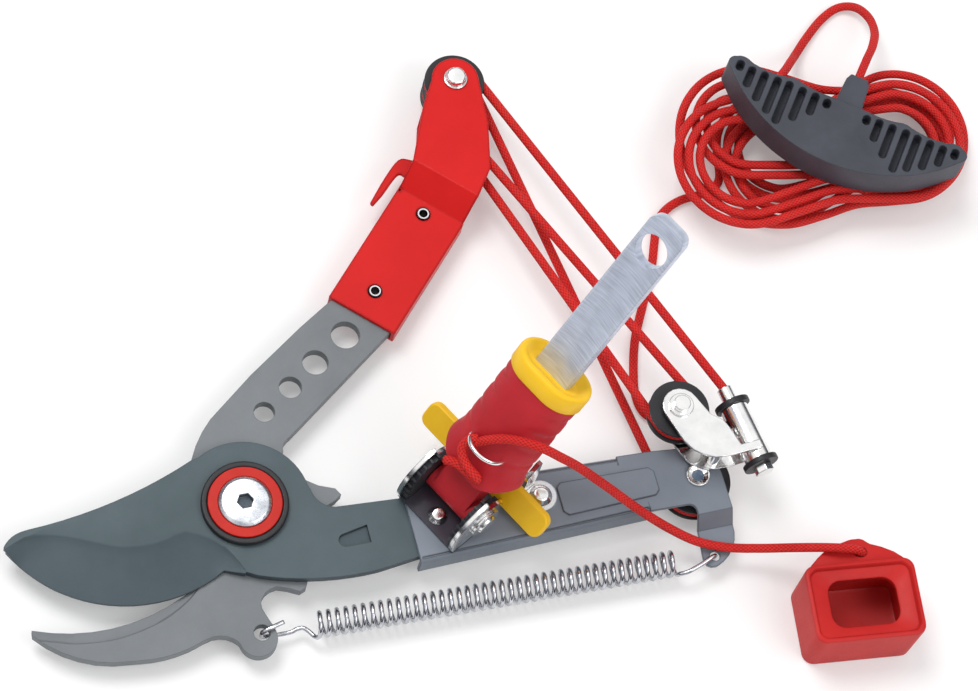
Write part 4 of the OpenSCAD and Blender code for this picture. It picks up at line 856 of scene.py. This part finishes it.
# Return spring: hard-drawn bright wire wound into an open coil of 42 turns, with a hook bent at each end: one
# in the frame's tail, one in the lever's eye.
def swept(name, points, radius, sides, spacing=None):
    """A round bar swept along a line in millimetres. Its UV map goes along it in diameters, and once round it."""
    line = even_line(points, spacing=spacing) if spacing else [Vector(p) for p in points]
    curve = bpy.data.curves.new(name, "CURVE")
    curve.dimensions = "3D"
    curve.twist_mode = "MINIMUM"
    curve.bevel_depth = radius * MM
    curve.bevel_resolution = sides // 4 - 1
    spline = curve.splines.new("POLY")
    spline.points.add(len(line) - 1)
    for point, at in zip(spline.points, line):
        point.co = (*(at * MM), 1)
    holder = added(name, curve)
    data = mesh_from(holder)
    bpy.data.objects.remove(holder)
    bpy.data.curves.remove(curve)
    around = len(data.vertices) // len(line)
    run = [s / (2 * radius) for s in run_along(line)]
    while data.uv_layers:
        data.uv_layers.remove(data.uv_layers[0])
    mesh = opened(data)
    mesh.verts.index_update()
    laid = mesh.loops.layers.uv.new("UVMap")
    for face in mesh.faces:
        places = [(loop, *divmod(loop.vert.index, around)) for loop in face.loops]
        wraps = max(p[2] for p in places) - min(p[2] for p in places) > around / 2
        for loop, along, turn in places:
            loop[laid].uv = (run[along], 1.0 if wraps and turn == 0 else turn / around)
    closed(mesh).to_mesh(data)
    mesh.free()
    data.shade_smooth()
    return added(name, data), [tuple(at * MM) for at in line]


tail, eye = Vector((191.5, -62.5)), Vector((-5.5, -54.9))
REACH = (eye - tail).length
COIL_FROM, COIL_TO, COIL_R, TURNS, STEPS = 17, REACH - 23.5, 5, 42, 20
tail_hook = [(0, 0, -3), (0, 0, 0.75), (0.6, 0.3, 1.9), (2.2, 1.0, 2.4), (6, 2.7, 2.3), (10, 4.2, 2.1),
             (13.6, 5.2, 1.5), (COIL_FROM, COIL_R, 0)]
coil = []
for i in range(TURNS * STEPS + 1):
    a = math.tau * i / STEPS
    coil.append(Vector((COIL_FROM + (COIL_TO - COIL_FROM) * i / (TURNS * STEPS),
                        COIL_R * cos(a), -COIL_R * sin(a))))
eye_hook = [(COIL_TO, COIL_R, 0), (COIL_TO + 0.8, 4.9, -1.4), (COIL_TO + 2, 3.6, -2.4), (COIL_TO + 3.6, 1.2, -2.6),
            (COIL_TO + 5.6, -0.6, -2.7), (COIL_TO + 8.2, -0.7, -3.2), (COIL_TO + 11.5, 0, -3.85),
            (REACH - 2.4, 0, -3.85), (REACH - 0.6, 0, -3.05), (REACH, 0, -1.45), (REACH, 0, 1.45),
            (REACH - 0.6, -0.1, 3.05), (REACH - 2.4, -0.5, 3.85), (REACH - 5, -1.2, 4.05), (REACH - 9.5, -2.4, 4.1)]
across = Matrix.Translation((*tail, 10)) @ Matrix.Rotation(math.atan2(eye.y - tail.y, eye.x - tail.x), 4, "Z")
wire = [across @ p for p in smooth_line(tail_hook, 5)[:-1] + coil + smooth_line(eye_hook, 5)[1:]]
spring, _ = swept("spring_wound", wire, 1.0, 12)
wire_steel = finish(
    "wire_steel", (0.34, 0.35, 0.38), (0.68, 0.69, 0.73), (0.1, 0.22), metallic=1.0, patch=260, grain=1500,
    bump=0.03, gloss_level=0.5)
spring.data.materials.append(wire_steel)
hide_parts("return_spring", "spring_hook")
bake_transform(spring)

# Tackle rope: 4 mm red braided cord. It runs from the barrel over the front top sheave, round the lower block,
# over the rear top sheave and down to the sheave under the frame's end.
braid, ends_in, ends_out = node_group("braid", {"Along": 2.0, "Around": 8}, ("Height",))
u, v, _ = placed_at(braid, "UV")
along = worked("MULTIPLY", u, ends_in.outputs["Along"])
around = worked("MULTIPLY", v, ends_in.outputs["Around"])
left, right = worked("ADD", along, around), worked("SUBTRACT", along, around)
crossing = worked("ADD", worked("FLOOR", left), worked("FLOOR", right))
over = worked("FLOORED_MODULO", crossing, 2)
under = worked("SUBTRACT", 1, over)
left_part, right_part = worked("FRACT", left), worked("FRACT", right)
cross, run = [worked("ADD", worked("MULTIPLY", a, over), worked("MULTIPLY", b, under))
              for a, b in ((left_part, right_part), (right_part, left_part))]
bulge = worked("POWER", worked("SINE", worked("MULTIPLY", cross, math.pi)), 0.6)
arch = worked("SINE", worked("MULTIPLY", run, math.pi))
height = worked("MULTIPLY", bulge, worked("ADD", worked("MULTIPLY", arch, 0.55), 0.45))
feed(height, ends_out.inputs["Height"])
red_rope = finish(
    "red_rope", (0.66, 0.022, 0.020), (0.78, 0.034, 0.028), (0.6, 0.75), patch=60, grain=2500, gloss_level=0.2)
tree = red_rope.node_tree
base = tree.nodes["Principled BSDF"].inputs["Base Color"]
braided = tree.nodes.new("ShaderNodeGroup")
braided.node_tree = braid
# Painted shade: the grooves between the braid's strands are painted dark red, for the shade between the strands.
filled = ranged(braided.outputs["Height"], 0.05, 0.6)
feed(colour_mix(filled, (0.22, 0.006, 0.008), base.links[0].from_socket), base)
relieved(braided.outputs["Height"], 0.9, 0.4)


def bend(centre, radius, first, last, z, steps=24):
    """Points round a sheave from one angle to another."""
    angles = [first + (last - first) * i / steps for i in range(steps + 1)]
    return [(x, y, z) for x, y in round_points(centre, radius, angles)]


ROPE_R, TOP_R, LOWER_R, FRAME_R, LOWER_AT, FRAME_AT = 2, 11, 10.6, 13.2, (189, -2), (192.3, -28.3)
FRONT_Z, TOP_FRONT_Z, TOP_REAR_Z, REAR_Z = 28.2, 17.783, 9.717, 9.25
tackle = ([(212.4, 3.4, FRONT_Z)] + bend(TOP_AT, TOP_R, 20.425, 203.199, TOP_FRONT_Z)
          + bend(LOWER_AT, LOWER_R, 23.199, -163.476, FRONT_Z) + bend(TOP_AT, TOP_R, 196.524, 8.567, TOP_REAR_Z)
          + [(179.25, -30.27, REAR_Z)])
rope, _ = swept("tackle_rope", tackle, ROPE_R, 16, 1.2)
rope.data.materials.append(red_rope)
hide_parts("rope_runs", "rope_top_turns", "rope_lower_turn")
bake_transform(rope)
turn, _ = swept("frame_turn_rope", bend(FRAME_AT, FRAME_R, 188.567, 360, REAR_Z), ROPE_R, 16, 1.2)
fitted(turn, "rope_frame_turn", red_rope)

# Pull handle: a dark grey moulded grip with a bowed lower edge, a row of deep slots to each side and a stem
# that holds the cord's end.
HANDLE = Matrix.Translation((301.9, 117.5, 22.6)) @ Matrix.Rotation(radians(-36.5), 4, "Z")
HANDLE_T, HALF, SLOT_R, SLOT_D = 17, 57, 1.75, 6
upper = smooth_line([(53, 5), (51, 5.4), (48.5, 4.9), (46, 3.9), (38, 3.1), (30, 4.2), (28, 4.8), (26, 5), (24, 4.7),
                     (21, 3.9), (15, 3.2), (8, 3.4)], 2)
grip = (arc_through((3 - HALF, -3.5), (0, -28.3), (HALF - 3, -3.5), 40)
        + arc_through((HALF - 1.2, -1.6), (HALF, 1.2), (HALF - 2.6, 4.2), 6)
        + [tuple(p) for p in upper] + [(-p.x, p.y) for p in reversed(upper)]
        + arc_through((2.6 - HALF, 4.2), (-HALF, 1.2), (1.2 - HALF, -1.6), 6))
handle = made_piece("handle_moulded", outline_prism(grip, 0, HANDLE_T))
slots = []
for x, top, low in ((9.5, 1.7, -3.2), (15.3, 2.2, -9.7), (21.5, 2.4, -15.7), (27.9, 2.6, -20.4), (33.5, 2.3, -17.4),
                    (39.6, 2.2, -13.6), (45.7, 2.2, -8.8), (51.4, 3, -2.4)):
    for at in (-x, x):
        slots.append(outline_prism(round_points((at, top - SLOT_R), SLOT_R, range(0, 181, 20))
                                   + round_points((at, low + SLOT_R), SLOT_R, range(180, 361, 20)),
                                   HANDLE_T - SLOT_D, HANDLE_T + 2))
carved(handle, slots)
stem = outline_prism([(-6.6, 2), (-5.9, 8), (-5.4, 17), (-4, 20), (4, 20), (5.4, 17), (5.9, 8), (6.6, 2)], 3, 14)
joined(handle, [stem])
handle.data.transform(in_metres(HANDLE))
grey_moulding = finish(
    "grey_moulding", (0.044, 0.047, 0.060), (0.068, 0.072, 0.092), (0.45, 0.6), patch=45, grain=1500, bump=0.2,
    edge_shade=(0.012, 0.012, 0.016), edge_share=0.6)
fitted(rounded(handle, 1.0, 3), "pull_handle", grey_moulding)

# Pull cord: the same cord goes on from the frame's sheave to a loose hank on the table, and over it in a loop
# into the handle's stem.
CORD_Z, HANK_AT, HANK_TURN, RUN, INNER, PITCH, LAY_H = 2.2, (297.5, 111.5), -3, 36, 17.5, 5, 6
TURN, LAY, SHIFT_AT, CLIMB_AT, CLIMB, WAIST = 24, 60, 46, 52, 4, 5
OUTER = INNER + PITCH * (CLIMB_AT + CLIMB) / TURN
LAYS = ((-4.5, 7.1, 5.8, 0.73), (11.5, 7.8, 1.9, 0.84), (-17.3, -2.9, 6.9, 0.91), (1.4, -5.4, -2.8, 1))
TUCKS = (-1, 8.5, -1)


def hank_place(step, w, run):
    """A point of one turn of 24 steps: two straight runs drawn in at the middle, and two round ends."""
    j = step % TURN
    if j < 4 or j >= 20:
        a = radians(22.5 * (j if j < 4 else j - TURN))
        return -run - w * cos(a), w * sin(a)
    if 8 <= j < 16:
        a = radians(22.5 * (j - 8))
        return run + w * sin(a), w * cos(a)
    x = -run + (j - 4) * run / 2 if j < 8 else run - (j - 16) * run / 2
    y = w - WAIST * cos(radians(90 * x / run)) ** 2
    return (x, y) if j < 8 else (x, -y)


def hank_point(k):
    """A point of the hank: four layers, wound inwards and outwards, each turned and shifted from the last."""
    layer = min((k + CLIMB) // LAY, 3)
    v = k - LAY * layer
    climb = max(v - CLIMB_AT, 0) / CLIMB if layer < 3 else 0
    q = PITCH * ((min(v, CLIMB_AT) if layer < 3 else v) + CLIMB) / TURN
    before = min(max((k - SHIFT_AT) // LAY, 0), 2)
    t = soft_step(min(max((k - LAY * before - SHIFT_AT) / TURN, 0), 1))
    turn, dx, dy, size = [(1 - t) * a + t * b for a, b in zip(LAYS[before], LAYS[before + 1])]
    w = (OUTER - q if layer % 2 == 0 else INNER + q) + TUCKS[before] * 4 * t * (1 - t)
    x, y = hank_place(k, w, RUN * size)
    a = radians(HANK_TURN + turn)
    return Vector((x * cos(a) - y * sin(a) + HANK_AT[0] + dx,
                   x * sin(a) + y * cos(a) + HANK_AT[1] + dy, CORD_Z + LAY_H * (layer + climb)))


lead = [(205.5, -27.9, REAR_Z), (205.4, -17, 9), (203.5, -7, 7.5), (198, 1, 5.5), (189, 4.5, 3.6)]
lead += [(x, y, CORD_Z) for x, y in (
    (182.5, 10), (181, 19), (183.6, 31), (188.5, 45), (197, 61), (205.5, 77), (210, 88), (214, 97), (220, 102.5),
    (228, 105.6), (237, 106.4), (244, 108.4), (248.2, 113))]
loop = [(268, 141.05, 20.2), (277, 144.4, 20.1), (285.5, 149.5, 20.2), (293, 157, 14.4), (299.5, 164, 6),
        (308, 172.5, 3), (318.5, 181.2, CORD_Z), (328, 185.5, 2.4), (335.2, 183, 5), (338, 174.5, 9.6),
        (336, 164, 15.6), (330.2, 154.2, 22), (323.8, 146.4, 27.4), (317.07, 138, 31.1), (314.03, 133.9, 31.1)]
pull_line = smooth_line(lead + [hank_point(k) for k in range(4 * LAY + 5)] + loop, 6)
pull, pull_path = swept("pull_cord", pull_line, ROPE_R, 12, 1.0)
pull.data.materials.append(red_rope)
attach(pull, "frame")
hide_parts("pull_lead", "pull_hank", "pull_loop")

# Cord clip: a red moulded cup with a framed window in its top. The tether goes into a slanting hole in its
# peaked lug.
CLIP = Matrix.Translation((243.7, -100.6, 0)) @ Matrix.Rotation(radians(-6.8), 4, "Z")
CORD_IN, CORD_END, CORD_HOLE_R = Vector((1.6, 22.9, 26.5)), Vector((7.5, 21.5, 18.8)), 2.4
cup = [[(x, y, z) for x, y in rounded_outline(length, width, radius)] for length, width, radius, z in (
    (46.5, 33, 4.4, 0), (48, 34.5, 5, 0.6), (48.5, 35, 5, 27.4), (47.9, 34.4, 4.8, 28.6), (46.5, 33, 4.4, 29),
    (44.9, 31.4, 4, 29), (43.9, 30.4, 3.8, 28.5), (43.1, 29.6, 3.8, 27.2), (31.6, 22.6, 6, 26.2), (30, 21, 6, 25.6),
    (30, 21, 6, 23.4), (31, 22, 5, 22.6), (37, 26, 3.5, 13), (38, 27, 3, 3.4), (36, 25, 3, 3))]
clip = made_piece("cord_clip_moulded", placed(lofted(cup), CLIP), 35)
peak = outline_prism([(-21, 15), (-20, 18.2), (-16, 21.9), (-11.5, 25.3), (-6, 27.2), (-1.6, 28.5), (0, 28.8),
                      (3.6, 28.8), (5.2, 28.2), (7.5, 26.2), (12.5, 24.4), (17.5, 21.8), (21.5, 18.6), (21.8, 15)],
                     15, 25)
bmesh.ops.bevel(peak, geom=peak.edges[:], offset=1.3, affect="EDGES", segments=3, profile=0.5, material=-1,
                clamp_overlap=True)
lug = made_piece("lug", peak)
cord_way = (CORD_IN - CORD_END).to_track_quat("Z", "Y").to_matrix().to_4x4()
carved(lug, [placed(round_bar((0, 0), CORD_HOLE_R, -10, 10, 24),
                    Matrix.Translation(1.5 * CORD_IN - 0.5 * CORD_END) @ cord_way)])
joined(clip, [placed(scaled(opened(lug.data), 1 / MM), CLIP)])
bpy.data.objects.remove(lug)
clip_red = finish(
    "clip_red", (0.46, 0.012, 0.012), (0.55, 0.019, 0.016), (0.38, 0.52), grain=1300, bump=0.12,
    gloss_level=0.22, edge_shade=(0.24, 0.006, 0.008), edge_share=0.4, edge_width=0.7)
fitted(clip, "cord_clip", clip_red)

# Tether: the same cord, tied in the staple, goes over the adapter's face and down across the frame to the clip.
tether_line = smooth_line(
    [ADAPTER @ Vector((34.8, 2.8, 14.6)), ADAPTER @ Vector((37, 2.6, 14.6)), (100.3, -15.3, 76), (109, -21.2, 80.5),
     (115, -24.4, 79), (121.6, -26.7, 73), (130.6, -29.1, 63), (145.2, -34.2, 45), (160.6, -42.1, 29),
     (173.5, -49.8, 20), (184.9, -56.3, 15.4), (197.3, -61, 13.8), (209.4, -64.4, 14.8), (221.4, -68.9, 20.6),
     (229.2, -72.2, 25.2), (235.5, -74.6, 27.8), (241.6, -76.5, 28.6), CLIP @ CORD_IN, CLIP @ CORD_END], 8)
tether, tether_path = swept("tether_cord_braided", tether_line, ROPE_R, 16, 1.2)
tether.data.materials.append(red_rope)
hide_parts("tether_cord")
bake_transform(tether)

# Knot: the tether's end, the same cord, is doubled round itself below the staple and pulled tight.
knot_line = smooth_line([ADAPTER @ Vector(p) for p in (
    (37, 4, 14.4), (35, 6.3, 15.8), (30.4, 6.1, 17.2), (27, 2.4, 17.6), (25.2, -2.6, 16.8), (24, -6, 15.2),
    (22.4, -6, 14.2), (21.9, -2, 14.2), (21.4, 2.6, 14.4), (20, 6.4, 14.4), (17.6, 9.2, 14))], 8)
knot, _ = swept("tether_knot_tied", knot_line, 2.1, 12, 1.0)
knot.data.materials.append(red_rope)
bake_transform(knot)
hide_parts("tether_knot")
